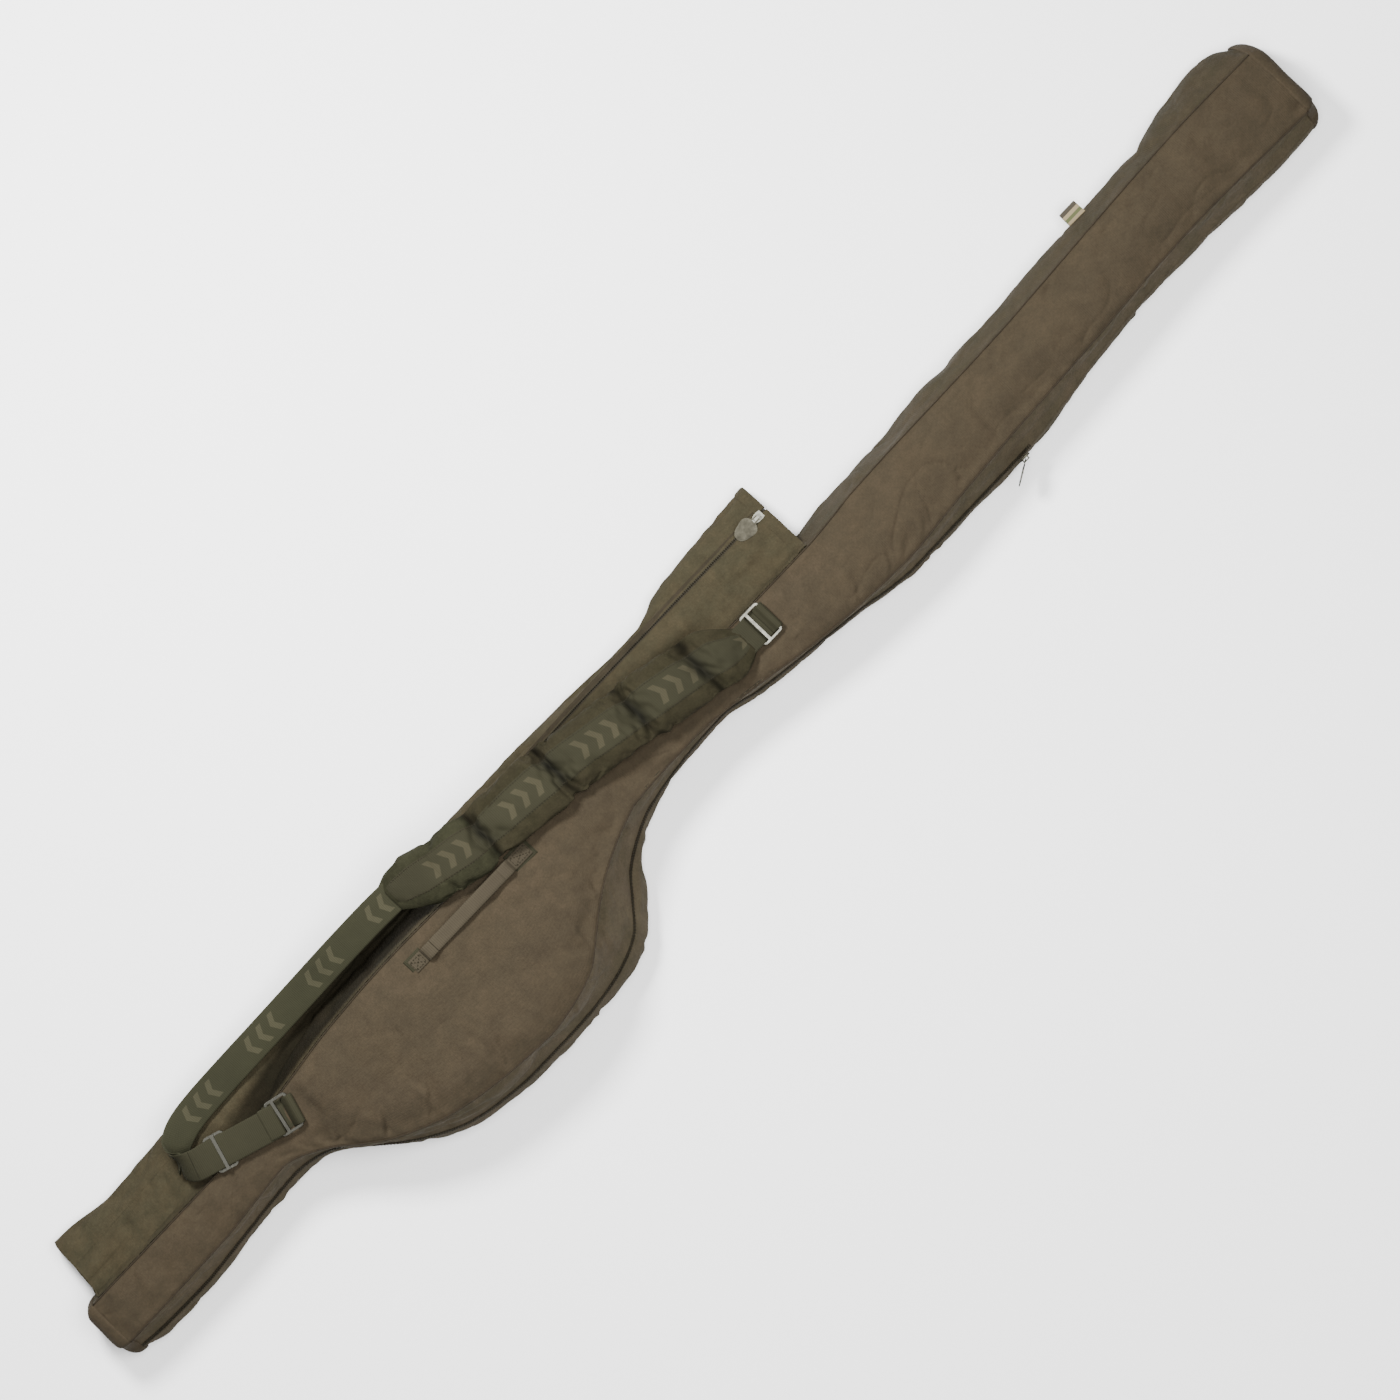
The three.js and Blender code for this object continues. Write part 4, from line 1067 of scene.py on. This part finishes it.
def hem(key, lines, hint, count):
    """The binding round the pocket's mouth."""
    P, N = lofted(lines, np.linspace(P1 - 0.010, P1 + 0.0042, 7), count, hint)
    lift = 0.0011 * (1 - np.linspace(-1, 1, 7) ** 6)
    P = P + N * (lift[:, None] + 0.0003 * noise(P, 0.02, 61))[..., None]
    P[..., 2] = np.maximum(P[..., 2], 0.0002)
    o = cloth_sheet("pocket_hem_" + key, P, 0.0030, [POCKET], hint)
    sewn(o, "trim_cloth", "pocket_mouth_%s_binding" % key)


def pocket_zip_tape(name, side):
    middle = zip_edge(0)
    across = np.array([0.0003, 0.002, 0.0045, 0.0075])[:, None] * [0, side, 0]
    P = middle(along(PZ, P1))[:, None] + across - [0, 0, 0.0013]
    tape = cloth_sheet(name + "_tape", P, 0.0008, [TAPE_CLOTH], (0, 0, 1))
    centre = middle(along(PZ, P1, TOOTH)) + [0, side * 0.0011, -0.0004]
    teeth = coil(name + "_teeth", centre, (0, 1, 0), (0, 0, 1))
    sewn(tape, "zip_nylon", name + "_half")
    sewn(teeth, "zip_nylon")


def close_pocket():
    """The pocket's end at the butt: its edge is drawn in and sewn down."""
    ring = []
    for line in (
        pocket_seam,
        between(pocket_seam, pocket_line("valley"), 0.55, -0.003),
        pocket_line("valley"),
        zip_edge(0),
        between(zip_edge(1), pocket_line("shoulder"), 0.5, 0.0015),
        pocket_line("shoulder"),
        pocket_line("edge"),
        pocket_line("edge", -0.0075, -0.0125),
        pocket_line("back1"),
        pocket_line("back0"),
    ):
        ring.append(line(np.array([P0]))[0])
    ring.append(np.array([P0, corner("left", np.array([P0]))[0, 1] + 0.002, 0.030]))
    ring = spline(ring + ring[:1], 60)[:-1]
    middle = ring.mean(0)
    rings = []
    for out, share in ((0, 1), (0.0008, 0.99), (0.0016, 0.95), (0.0019, 0.8), (0.0019, 0.5), (0.0019, 0.1)):
        r = middle + (ring - middle) * share
        r[:, 0] = P0 - out
        rings.append(r)
    P = np.stack(rings)
    P[..., 2] = np.maximum(P[..., 2], 0.0003)
    P[..., 0] += 0.0008 * noise(P, 0.02, 71) * ramp(np.arange(6), 1, 3)[:, None]
    sewn(closed_loft("pocket_end", P, [POCKET]), "shell_cloth", "pocket_end_panel")


# ---------------------------------------------------------------- shoulder strap
def pad_rings():
    rows = []
    for name in ("strap_pad_upper_end", "strap_pad", "strap_pad_lower_end"):
        for p in stations(name):
            q = p - p.mean(0)
            v = np.linalg.eigh(q[:, 1:].T @ q[:, 1:])[1]
            side = v[:, 1] * np.sign(v[0, 1])
            half = (q[:, 1:] @ side).max()
            thick = np.ptp(q[:, 1:] @ v[:, 0])
            rows.append([p[0, 0], p.mean(0)[1], p.mean(0)[2], math.atan2(-side[1], side[0]), half, thick])
    rows = np.array(sorted(rows))
    keep = np.concatenate([[True], np.diff(rows[:, 0]) > 0.003])
    return rows[keep]


GATHERS = [-0.269, -0.162, -0.052, 0.033]  # where the webbing's stitching gathers the pad
PAD_HALF = 0.036  # half the pad's width, for what is woven or scattered on it


def pad_shape():
    rows = pad_rings()
    x = along(rows[0, 0], rows[-1, 0], 0.0018)
    y, z, tilt, half, thick = (smooth(rows[:, 0], rows[:, k])(x) for k in range(1, 6))
    side = np.stack([0 * x, np.cos(tilt), -np.sin(tilt)], -1)
    up = np.stack([0 * x, np.sin(tilt), np.cos(tilt)], -1)
    return x, np.stack([x, y, z], -1), side, up, half, thick


def pad_surface(sign, v, shape):
    """The pad's upper (sign 1) or under surface at v across it, -1 to 1."""
    x, centre, side, up, half, thick = shape
    X, V = np.meshgrid(x, v, indexing="ij")
    flat = np.stack([X, V * PAD_HALF, 0 * X], -1)
    pinch, crumple = 0 * X, 0 * X
    for k, g in enumerate(GATHERS):
        line = g + 0.0035 * noise(flat, (9, 0.016, 9), 70 + k) + 0.006 * V * (-1) ** k
        d = X - line
        depth = 0.85 + 0.35 * noise(flat, (0.02, 0.014, 9), 75 + k)
        pinch = pinch + np.exp(-np.abs(d / 0.0050) ** 1.5) * depth
        near = np.exp(-((d / 0.021) ** 2)) * (1.7 if k in (1, 2) else 0.6)
        if k in (1, 2):
            frill = np.exp(-(((d - 0.012) / 0.006) ** 2)) * (0.7 + 0.9 * noise(flat, (9, 0.011, 9), 78 + k))
            pinch = pinch - 0.45 * frill
        fine = 0.7 * noise(flat, (0.006, 0.009, 9), 84 + k)
        crumple = crumple + near * (noise(flat, (0.0085, 0.020, 9), 80 + k) + fine)
    ends = np.minimum(x - x[0], x[-1] - x)
    swell = np.min([np.abs(x - g) for g in GATHERS] + [ends + 0.012], axis=0)
    puff = ramp(swell, 0.0, 0.026)
    flare = sum(np.exp(-(((x - g - 0.010) / 0.006) ** 2)) for g in GATHERS[1:3])
    wave = noise(np.stack([x, 0 * x, 0 * x], -1), (0.03, 1, 1), 85 + sign)
    wide = half * (0.93 + 0.10 * puff) + 0.0032 * flare + 0.0018 * wave
    body = (1 - np.abs(V) ** 3.4) ** 0.5
    h = thick[:, None] * 0.5 * body * (0.84 + (0.74 if sign > 0 else 0.25) * puff[:, None])
    h = h - body * (0.0068 * pinch if sign > 0 else 0.0020 * pinch) + body * 0.0024 * crumple
    soft = 0.0011 * noise(flat, (0.030, 0.024, 9), 88) - 0.0016 * fold(flat, (0.05, 0.05, 9), 89, 4)
    h = h + body * soft * (1 if sign > 0 else 0.4)
    stitch = np.exp(-(((np.abs(V) - 0.56) / 0.035) ** 2))
    h = h - 0.0004 * stitch * (sign > 0)
    across = side[:, None] * (wide[:, None] * V)[..., None]
    return centre[:, None] + across + up[:, None] * (sign * h)[..., None]


def pad_stuffing(shape):
    """How the pad's skins settle over the foam: a field for the upper side and one for the under side."""
    coarse = [s[::3] for s in shape]
    v = np.sin(np.linspace(-1, 1, 18) * np.pi / 2)
    top, low = pad_surface(1, v, coarse), pad_surface(-1, v, coarse)
    P = np.concatenate([top, low[:, ::-1][:, 1:-1]], 1)
    n, m = P.shape[:2]
    rows = [i for i in range(n) if i in (0, n - 1) or min(abs(coarse[0][i] - g) for g in GATHERS) < 0.004]
    D = stuffed(P, [i * m + j for i in rows for j in range(m)], 4.0, -0.03, 20, 0.005)
    return D[:, :18], np.concatenate([D[:, 17:], D[:, :1]], 1)[:, ::-1]


def stuffed_pad(sign, v, shape, fields):
    """The pad's surface with the settled cloth's shape."""
    rows = np.arange(len(shape[0])) / 3
    cols = (np.arcsin(np.clip(v, -1, 1)) / np.pi + 0.5) * 17
    return pad_surface(sign, v, shape) + sample(fields[0 if sign > 0 else 1], rows, cols)


def hang_from_ring(piece):
    """The piece's transform, baked into its mesh."""
    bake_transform(piece)


def pad_uv(shape, v, start=0.0):
    u = shape[0] - shape[0][0] + start
    return np.stack(np.meshgrid(u, v * PAD_HALF, indexing="ij"), -1)


def build_pad():
    shape = pad_shape()
    fields = pad_stuffing(shape)
    v = np.sin(np.linspace(-1, 1, 35) * np.pi / 2)
    top = stuffed_pad(1, v, shape, fields)
    low = stuffed_pad(-1, v, shape, fields)[:, ::-1][:, 1:-1]
    uv = pad_uv(shape, np.concatenate([v, v[::-1][1:-1]])).reshape(-1, 2)
    pad = closed_loft("shoulder_pad", np.concatenate([top, low], 1), [PAD_CLOTH, PAD_END], uv)
    at = np.array([f.center.x for f in pad.data.polygons])
    pad.data.polygons.foreach_set("material_index", (at < GATHERS[0] - 0.002).astype(np.int32))
    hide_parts("strap_pad", "strap_pad_upper_end", "strap_pad_lower_end")
    # the webbing along its middle, and a row of stitches in each of the webbing's edges
    v = np.linspace(-0.54, 0.54, 17)
    top = stuffed_pad(1, v, shape, fields)
    N = grid_normals(top)
    N = N if N[len(N) // 2, 8, 2] > 0 else -N
    top = top + N * (0.0008 * (1 - np.abs(v / 0.54) ** 8))[None, :, None]
    cut = slice(3, -1)
    uv = pad_uv(shape, v, 0.05)
    strip = cloth_sheet("pad_webbing", top[cut], 0.0008, [PAD_WEB], (0, 0, 1), N[cut], uv[cut])
    rows = []
    for key, v in (("near", [-0.49, -0.5]), ("far", [0.49, 0.5])):
        line = stuffed_pad(1, np.array(v), shape, fields)[6:-4, 0]
        rows.append(run_of_stitches("pad_stitches_" + key, line + [0, 0, 0.0010]))
    # painted shade in the gathers on each piece
    for o in [pad, strip] + rows:
        paint_gather_shade(o)
        hang_from_ring(o)


def paint_gather_shade(o):
    """Painted shade in the creases where the webbing's stitching gathers the pad."""
    co = points_of(o)
    flat = co * [1, 1, 0]
    shade_amount = 0
    for k, g in enumerate(GATHERS):
        d = co[:, 0] - g - 0.004 * noise(flat, 0.016, 90 + k)
        shade_amount = shade_amount + np.exp(-np.abs(d / 0.0055) ** 1.6) * (0.8 + 0.3 * noise(flat, 0.012, 95 + k))
    painted_shade(o, np.clip(0.85 * shade_amount, 0, 1))


def run_of_stitches(name, line, pitch=0.0036):
    """Stitches along a line."""
    s = lengths(line)
    centre = picked(np.arange(pitch, s[-1] - pitch, pitch), s, line)
    heading = unit(np.gradient(centre, axis=0))
    side = unit(np.cross([0, 0, 1.0], heading))
    up = np.cross(heading, side)
    return blocks(name, centre, heading, side, up, (pitch * 0.34, 0.0004, 0.0004), THREAD)


def paired(points, apart, slack):
    """The pairs of points that are that far apart, the surest pair first."""
    off = np.abs(np.linalg.norm(points[:, None] - points[None], axis=-1) - apart)
    np.fill_diagonal(off, 9)
    used, pairs = set(), []
    for i in off.min(1).argsort():
        near = [j for j in range(len(points)) if j not in used and off[i, j] < slack]
        if i not in used and near:
            j = min(near, key=lambda k: off[i, k])
            used |= {i, j}
            pairs.append((points[i], points[j]))
    return pairs


def webbing_rings(name):
    """The rings of a webbing node, in order along it: middles and the direction across."""
    edges = np.array([(a + b) / 2 for a, b in paired(corners_of(name), 0.0018, 2e-4)])
    rings = paired(edges, WEBBING, 3e-4)
    mids = np.array([(a + b) / 2 for a, b in rings])
    across = np.array([unit(a - b) * np.sign((a - b)[1] or 1) for a, b in rings])
    chain = [int(mids[:, 0].argmax())]
    left = set(range(len(mids))) - set(chain)
    while left:
        chain.append(min(left, key=lambda k: np.linalg.norm(mids[k] - mids[chain[-1]])))
        left.discard(chain[-1])
    return mids[chain], across[chain]


def stretched(rows, count):
    """The rows, spread over another number of rows."""
    return picked(np.linspace(0, 1, count), np.linspace(0, 1, len(rows)), rows)


def build_webbing():
    mids, acr = webbing_rings("strap_webbing")
    path = spline(mids, 420)
    known, at = lengths(mids), lengths(path)
    across = picked(at / at[-1], known / known[-1], acr)
    turn = int(path[:, 0].argmin())
    first = path[: turn + 6]
    start = spline(np.concatenate([first[:1] + [0.016, 0, 0.002], first[::6]]), len(first) + 12)
    start[:, 2] += 0.0015 * np.sin(np.linspace(0, 9, len(start)))
    sides = stretched(across[: turn + 6], len(start))
    web = ribbon("strap_web", start, sides, WEBBING, 0.0022, WEB, wave=0.0006)
    sewn(web, "webbing", "strap_webbing", body="shoulder_strap")
    # the doubled part, back to the lower ring
    back = path[turn - 5 :]
    heading = unit(back[-1] - back[-30])
    loop = corners_of("lower_strap_loop")
    far = loop[(loop @ heading).argsort()[-6:]].mean(0)
    end = back[-1] + heading * ((far - back[-1]) @ heading - 0.002)
    end[2] = back[-1][2] + 0.002
    top = spline(np.concatenate([back[::5], [(back[-1] + end) / 2, end]]), 150)
    sides = stretched(across[turn - 5 :], 150)
    low = top[30:].copy()
    low[:, 2] -= 0.0034 * ramp(np.arange(len(low)), 0, 25)
    upper_layer = ribbon("strap_web_return", top, sides, WEBBING, 0.0022, WEB_PLAIN, wave=0.0005, seed=4)
    lower_layer = ribbon("strap_web_under", low, sides[30:], 0.036, 0.002, WEB_PLAIN, wave=0.0005, seed=5)
    for o in (upper_layer, lower_layer):
        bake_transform(o)
    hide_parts("lower_strap_loop")
    sewn(wrap_bar("lower_strap_wrap", "lower_strap_loop", heading, 0.014), "webbing")
    return heading


def wrap_bar(name, node, heading, back):
    """The webbing's fold round a ring's bar."""
    p = corners_of(node)
    q = p @ heading
    side = unit(np.cross([0, 0, 1.0], heading))
    up = np.cross(heading, side)
    nose = q.max()
    mid_side = ((p @ side).min() + (p @ side).max()) / 2
    near = p[q > nose - 0.006]
    heights = near @ up
    centre_up = (heights.min() + heights.max()) / 2
    r = (heights.max() - heights.min()) / 2 - 0.0007
    cx = nose - r - 0.0007
    a = np.linspace(-np.pi / 2, np.pi / 2, 13)
    arc = [(cx + r * math.cos(t), centre_up + r * math.sin(t)) for t in a]
    pts = [(cx - back, centre_up - r * 0.75)] + arc + [(cx - back, centre_up + r * 0.75)]
    path = np.array([heading * u + up * w + side * mid_side for u, w in pts])
    return ribbon(name, spline(path, 60), side, WEBBING, 0.0018, WEB_PLAIN)


def build_anchors(heading_low):
    heading_up = np.array([1.0, 0, 0])
    wrap = wrap_bar("upper_strap_wrap", "upper_strap_loop", heading_up, 0.020)
    sewn(wrap, "webbing", "upper_strap_loop")
    for key, heading in (("upper", heading_up), ("lower", heading_low * np.array([1, 1, 0]))):
        heading = unit(heading)
        p = corners_of(key + "_strap_tab")
        side = unit(np.cross([0, 0, 1.0], heading))
        q = p @ heading
        nose, tail = q.max(), q.min()
        mid = ((p @ side).min() + (p @ side).max()) / 2
        near = p[q > nose - 0.005]
        top, low = near[:, 2].max(), near[:, 2].min()
        r = (top - low) / 2 - 0.0007
        cz = (top + low) / 2
        floor = p[q < tail + 0.012][:, 2].min() + 0.0009
        cx = nose - r - 0.0007
        pts = [(tail, floor), (tail * 0.4 + cx * 0.6, floor + 0.0004), (cx - 0.010, floor + 0.0012)]
        pts += [(cx + r * math.cos(t), cz + r * math.sin(t)) for t in np.linspace(-np.pi / 2, np.pi / 2, 9)]
        pts += [(cx - 0.003, cz + r * 0.75), (cx - 0.0062, cz - 0.0005), (cx - 0.010, floor + 0.0034)]
        path = np.array([heading * u + side * mid + np.array([0, 0, w]) for u, w in pts])
        o = ribbon(key + "_tab_web", spline(path, 90), side, 0.036, 0.0016, WEB_PLAIN)
        sewn(o, "webbing", key + "_strap_tab")


# ---------------------------------------------------------------- handle, tag and insides
def build_handle():
    lo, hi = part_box("handle_grip")
    y, z = (lo.y + hi.y) / 2, (lo.z + hi.z) / 2
    width, a, b = hi.y - lo.y, lo.x, hi.x
    x = np.linspace(a - 0.0005, b + 0.0005, 60)
    arch = 0.0025 * np.sin(np.pi * (x - a) / (b - a))
    path = np.stack([x, y + 0 * x, z + arch], -1)
    grip = ribbon("grip", path, (0, 1, 0), width, 0.0052, HANDLE_WEB, wave=0.0004)
    sewn(grip, "webbing", "handle_grip", body="carry_handle")
    for key, sign, near in (("butt", -1, a), ("tip", 1, b)):
        lo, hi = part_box("handle_patch_" + key)
        foot, far = (hi.x, lo.x + 0.003) if sign < 0 else (lo.x, hi.x - 0.003)
        base = hi.z + 0.0008
        line = [
            (near - sign * 0.004, y, z),
            (near + sign * 0.004, y, z - 0.0006),
            ((near + foot) / 2 + sign * 0.004, y, (z + base) / 2 + 0.002),
            (foot, y, base + 0.0008),
            (foot + sign * 0.006, y, base),
            (far, y, base),
        ]
        leg = ribbon("leg_" + key, spline(line, 50), (0, 1, 0), width, 0.0034, HANDLE_WEB)
        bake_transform(leg)
        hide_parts("handle_leg_" + key)
        # the sewn patch below it
        px = np.linspace(lo.x - 0.001, hi.x + 0.001, 8)
        path = np.stack([px, (lo.y + hi.y) / 2 + 0 * px, lo.z + 0.0012 + 0 * px], -1)
        patch = ribbon("patch_" + key, path, (0, 1, 0), hi.y - lo.y + 0.002, 0.0022, WEB_PLAIN)
        sewn(patch, "trim_cloth", "handle_patch_" + key)
        middle = np.array([(far + foot) / 2 + sign * 0.001, y, base + 0.0018])
        box_stitch("stitch_" + key, middle, abs(far - foot) / 2 - 0.002, width / 2 - 0.003)


def box_stitch(name, centre, a, b):
    """A square of stitches with a cross in it."""
    corners = [centre + [i * a, j * b, 0] for i, j in ((-1, -1), (1, -1), (1, 1), (-1, 1))]
    lines = [(corners[k], corners[(k + 1) % 4]) for k in range(4)]
    sewn(stitches(name, lines + [(corners[0], corners[2]), (corners[1], corners[3])]), "trim_cloth")


def stitches(name, lines, pitch=0.0036, size=0.00045):
    centre, heading = [], []
    for p, q in lines:
        n = max(2, int(np.linalg.norm(q - p) / pitch))
        for t in (np.arange(n) + 0.5) / n:
            centre.append(p + (q - p) * t)
            heading.append(unit(q - p))
    centre, heading = np.array(centre), np.array(heading)
    up = np.tile([0, 0, 1.0], (len(centre), 1))
    side = unit(np.cross(up, heading))
    return blocks(name, centre, heading, side, up, (pitch * 0.36, size, size), THREAD)


def build_tag():
    lo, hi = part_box("side_tag")
    x, z = (lo.x + hi.x) / 2, (lo.z + hi.z) / 2
    y0, y1 = lo.y - 0.004, hi.y + 0.001
    line = [
        (x, y0, z + 0.0022),
        (x, (y0 + y1) / 2, z + 0.0026),
        (x, y1 - 0.002, z + 0.0018),
        (x, y1, z),
        (x, y1 - 0.002, z - 0.0018),
        (x, y0, z - 0.0022),
    ]
    across = np.linspace(-1, 1, 9)[None, :, None] * [(hi.x - lo.x) / 2, 0, 0]
    P = spline(line, 40)[:, None] + across
    P[..., 0] += 0.0012 * noise(P, 0.012, 91)
    o = cloth_sheet("tag_cloth", P, 0.0007, [TAG], (0, 0, 1))
    co = np.array([o.data.vertices[loop.vertex_index].co for loop in o.data.loops])
    uv = np.stack([(co[:, 0] - lo.x), np.clip((co[:, 1] - y0) / (y1 - y0), 0.001, 0.999)], -1)
    o.data.uv_layers[0].data.foreach_set("uv", uv.astype(np.float32).ravel())
    sewn(o, "tag_cloth", "side_tag")


def paint(names, mat):
    for n in names:
        o = frame["nodes"][n]
        o.data.materials.clear()
        o.data.materials.append(mat)


def build_insides():
    for key in ("butt", "middle", "tip"):
        lo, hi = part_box("rod_tie_" + key)
        x = (lo.x + hi.x) / 2
        y = np.linspace(lo.y, hi.y, 30)
        z = lo.z + 0.0012 + 0.001 * np.sin(np.linspace(0, 6, 30))
        path = np.stack([x + 0 * y, y, z], -1)
        o = ribbon("tie_" + key, path, (1, 0, 0), hi.x - lo.x, 0.0022, LINING_WEB)
        sewn(o, "lining", "rod_tie_" + key)
    lo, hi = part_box("reel_pad")
    u, v = np.linspace(-1, 1, 50), np.linspace(-1, 1, 30)
    U, V = np.meshgrid(u, v, indexing="ij")
    cx, cy = (lo.x + hi.x) / 2, (lo.y + hi.y) / 2
    puff = (1 - np.abs(U) ** 6) ** 0.5 * (1 - np.abs(V) ** 6) ** 0.5
    P = np.stack([cx + U * (hi.x - lo.x) / 2, cy + V * (hi.y - lo.y) / 2, lo.z + 0.001 + 0.006 * puff], -1)
    P[..., 2] += 0.0006 * noise(P, 0.03, 95)
    o = cloth_sheet("reel_pad_cover", P, 0.001, [LINING], (0, 0, 1))
    sewn(o, "foam", "reel_pad")


build_tube()
build_piping()
build_main_zip()
build_caps()
build_pocket()
build_pad()
heading = build_webbing()
build_anchors(heading)
build_handle()
build_tag()
build_insides()
paint(["upper_buckle", "lower_buckle", "strap_adjuster", "pocket_zip_slider"], STEEL)
paint(["pocket_zip_pull"], PULL_METAL)
paint(["main_zip_slider", "main_zip_pull"], DARK)


# ---------------------------------------------------------------- floor, light and camera
VIEW_RIGHT = (0.68938, -0.7244, 0)  # the photograph's right and up, seen from above
VIEW_UP = (0.7244, 0.68938, 0)


def build_stage():
    look = {"Base Color": (0.96, 0.96, 0.96, 1), "Roughness": 0.9, "Specular IOR Level": 0.1}
    verts = 9.0 * np.array([[-1, -1, 0], [1, -1, 0], [1, 1, 0], [-1, 1, 0]])
    floor = make("floor", verts, [[0, 1, 2, 3]], np.zeros((4, 2)), [Nodes("floor").shade(look)])
    floor.location.z = -0.0005
    world = bpy.data.worlds.new("studio")
    bpy.context.scene.world = world
    world.use_nodes = True
    world.node_tree.nodes["Background"].inputs["Color"].default_value = (1, 1, 1, 1)
    world.node_tree.nodes["Background"].inputs["Strength"].default_value = 0.38

    def area(name, at, size, power):
        light = bpy.data.lights.new(name, "AREA")
        light.shape = "DISK"
        light.size = size
        light.energy = power
        o = bpy.data.objects.new(name, light)
        bpy.context.scene.collection.objects.link(o)
        o.location = at
        o.rotation_euler = (Vector((0, 0, 0)) - Vector(at)).to_track_quat("-Z", "Y").to_euler()

    right, up = np.array(VIEW_RIGHT), np.array(VIEW_UP)
    area("key", tuple(-right * 1.1 + up * 0.9 + np.array([0, 0, 1.9])), 0.6, 130)
    area("top", tuple(right * 0.5 + np.array([0, 0, 3.4])), 2.2, 235)


def build_camera():
    data = bpy.data.cameras.new("camera")
    data.lens = 100
    data.sensor_width = 36
    data.clip_end = 50
    cam = bpy.data.objects.new("camera", data)
    bpy.context.scene.collection.objects.link(cam)
    m = Matrix((VIEW_RIGHT, VIEW_UP, (0, 0, 1))).transposed().to_4x4()
    cam.matrix_world = Matrix.Translation(Vector((0.007, 0.0163, 4.46))) @ m
    bpy.context.scene.camera = cam


build_stage()
build_camera()
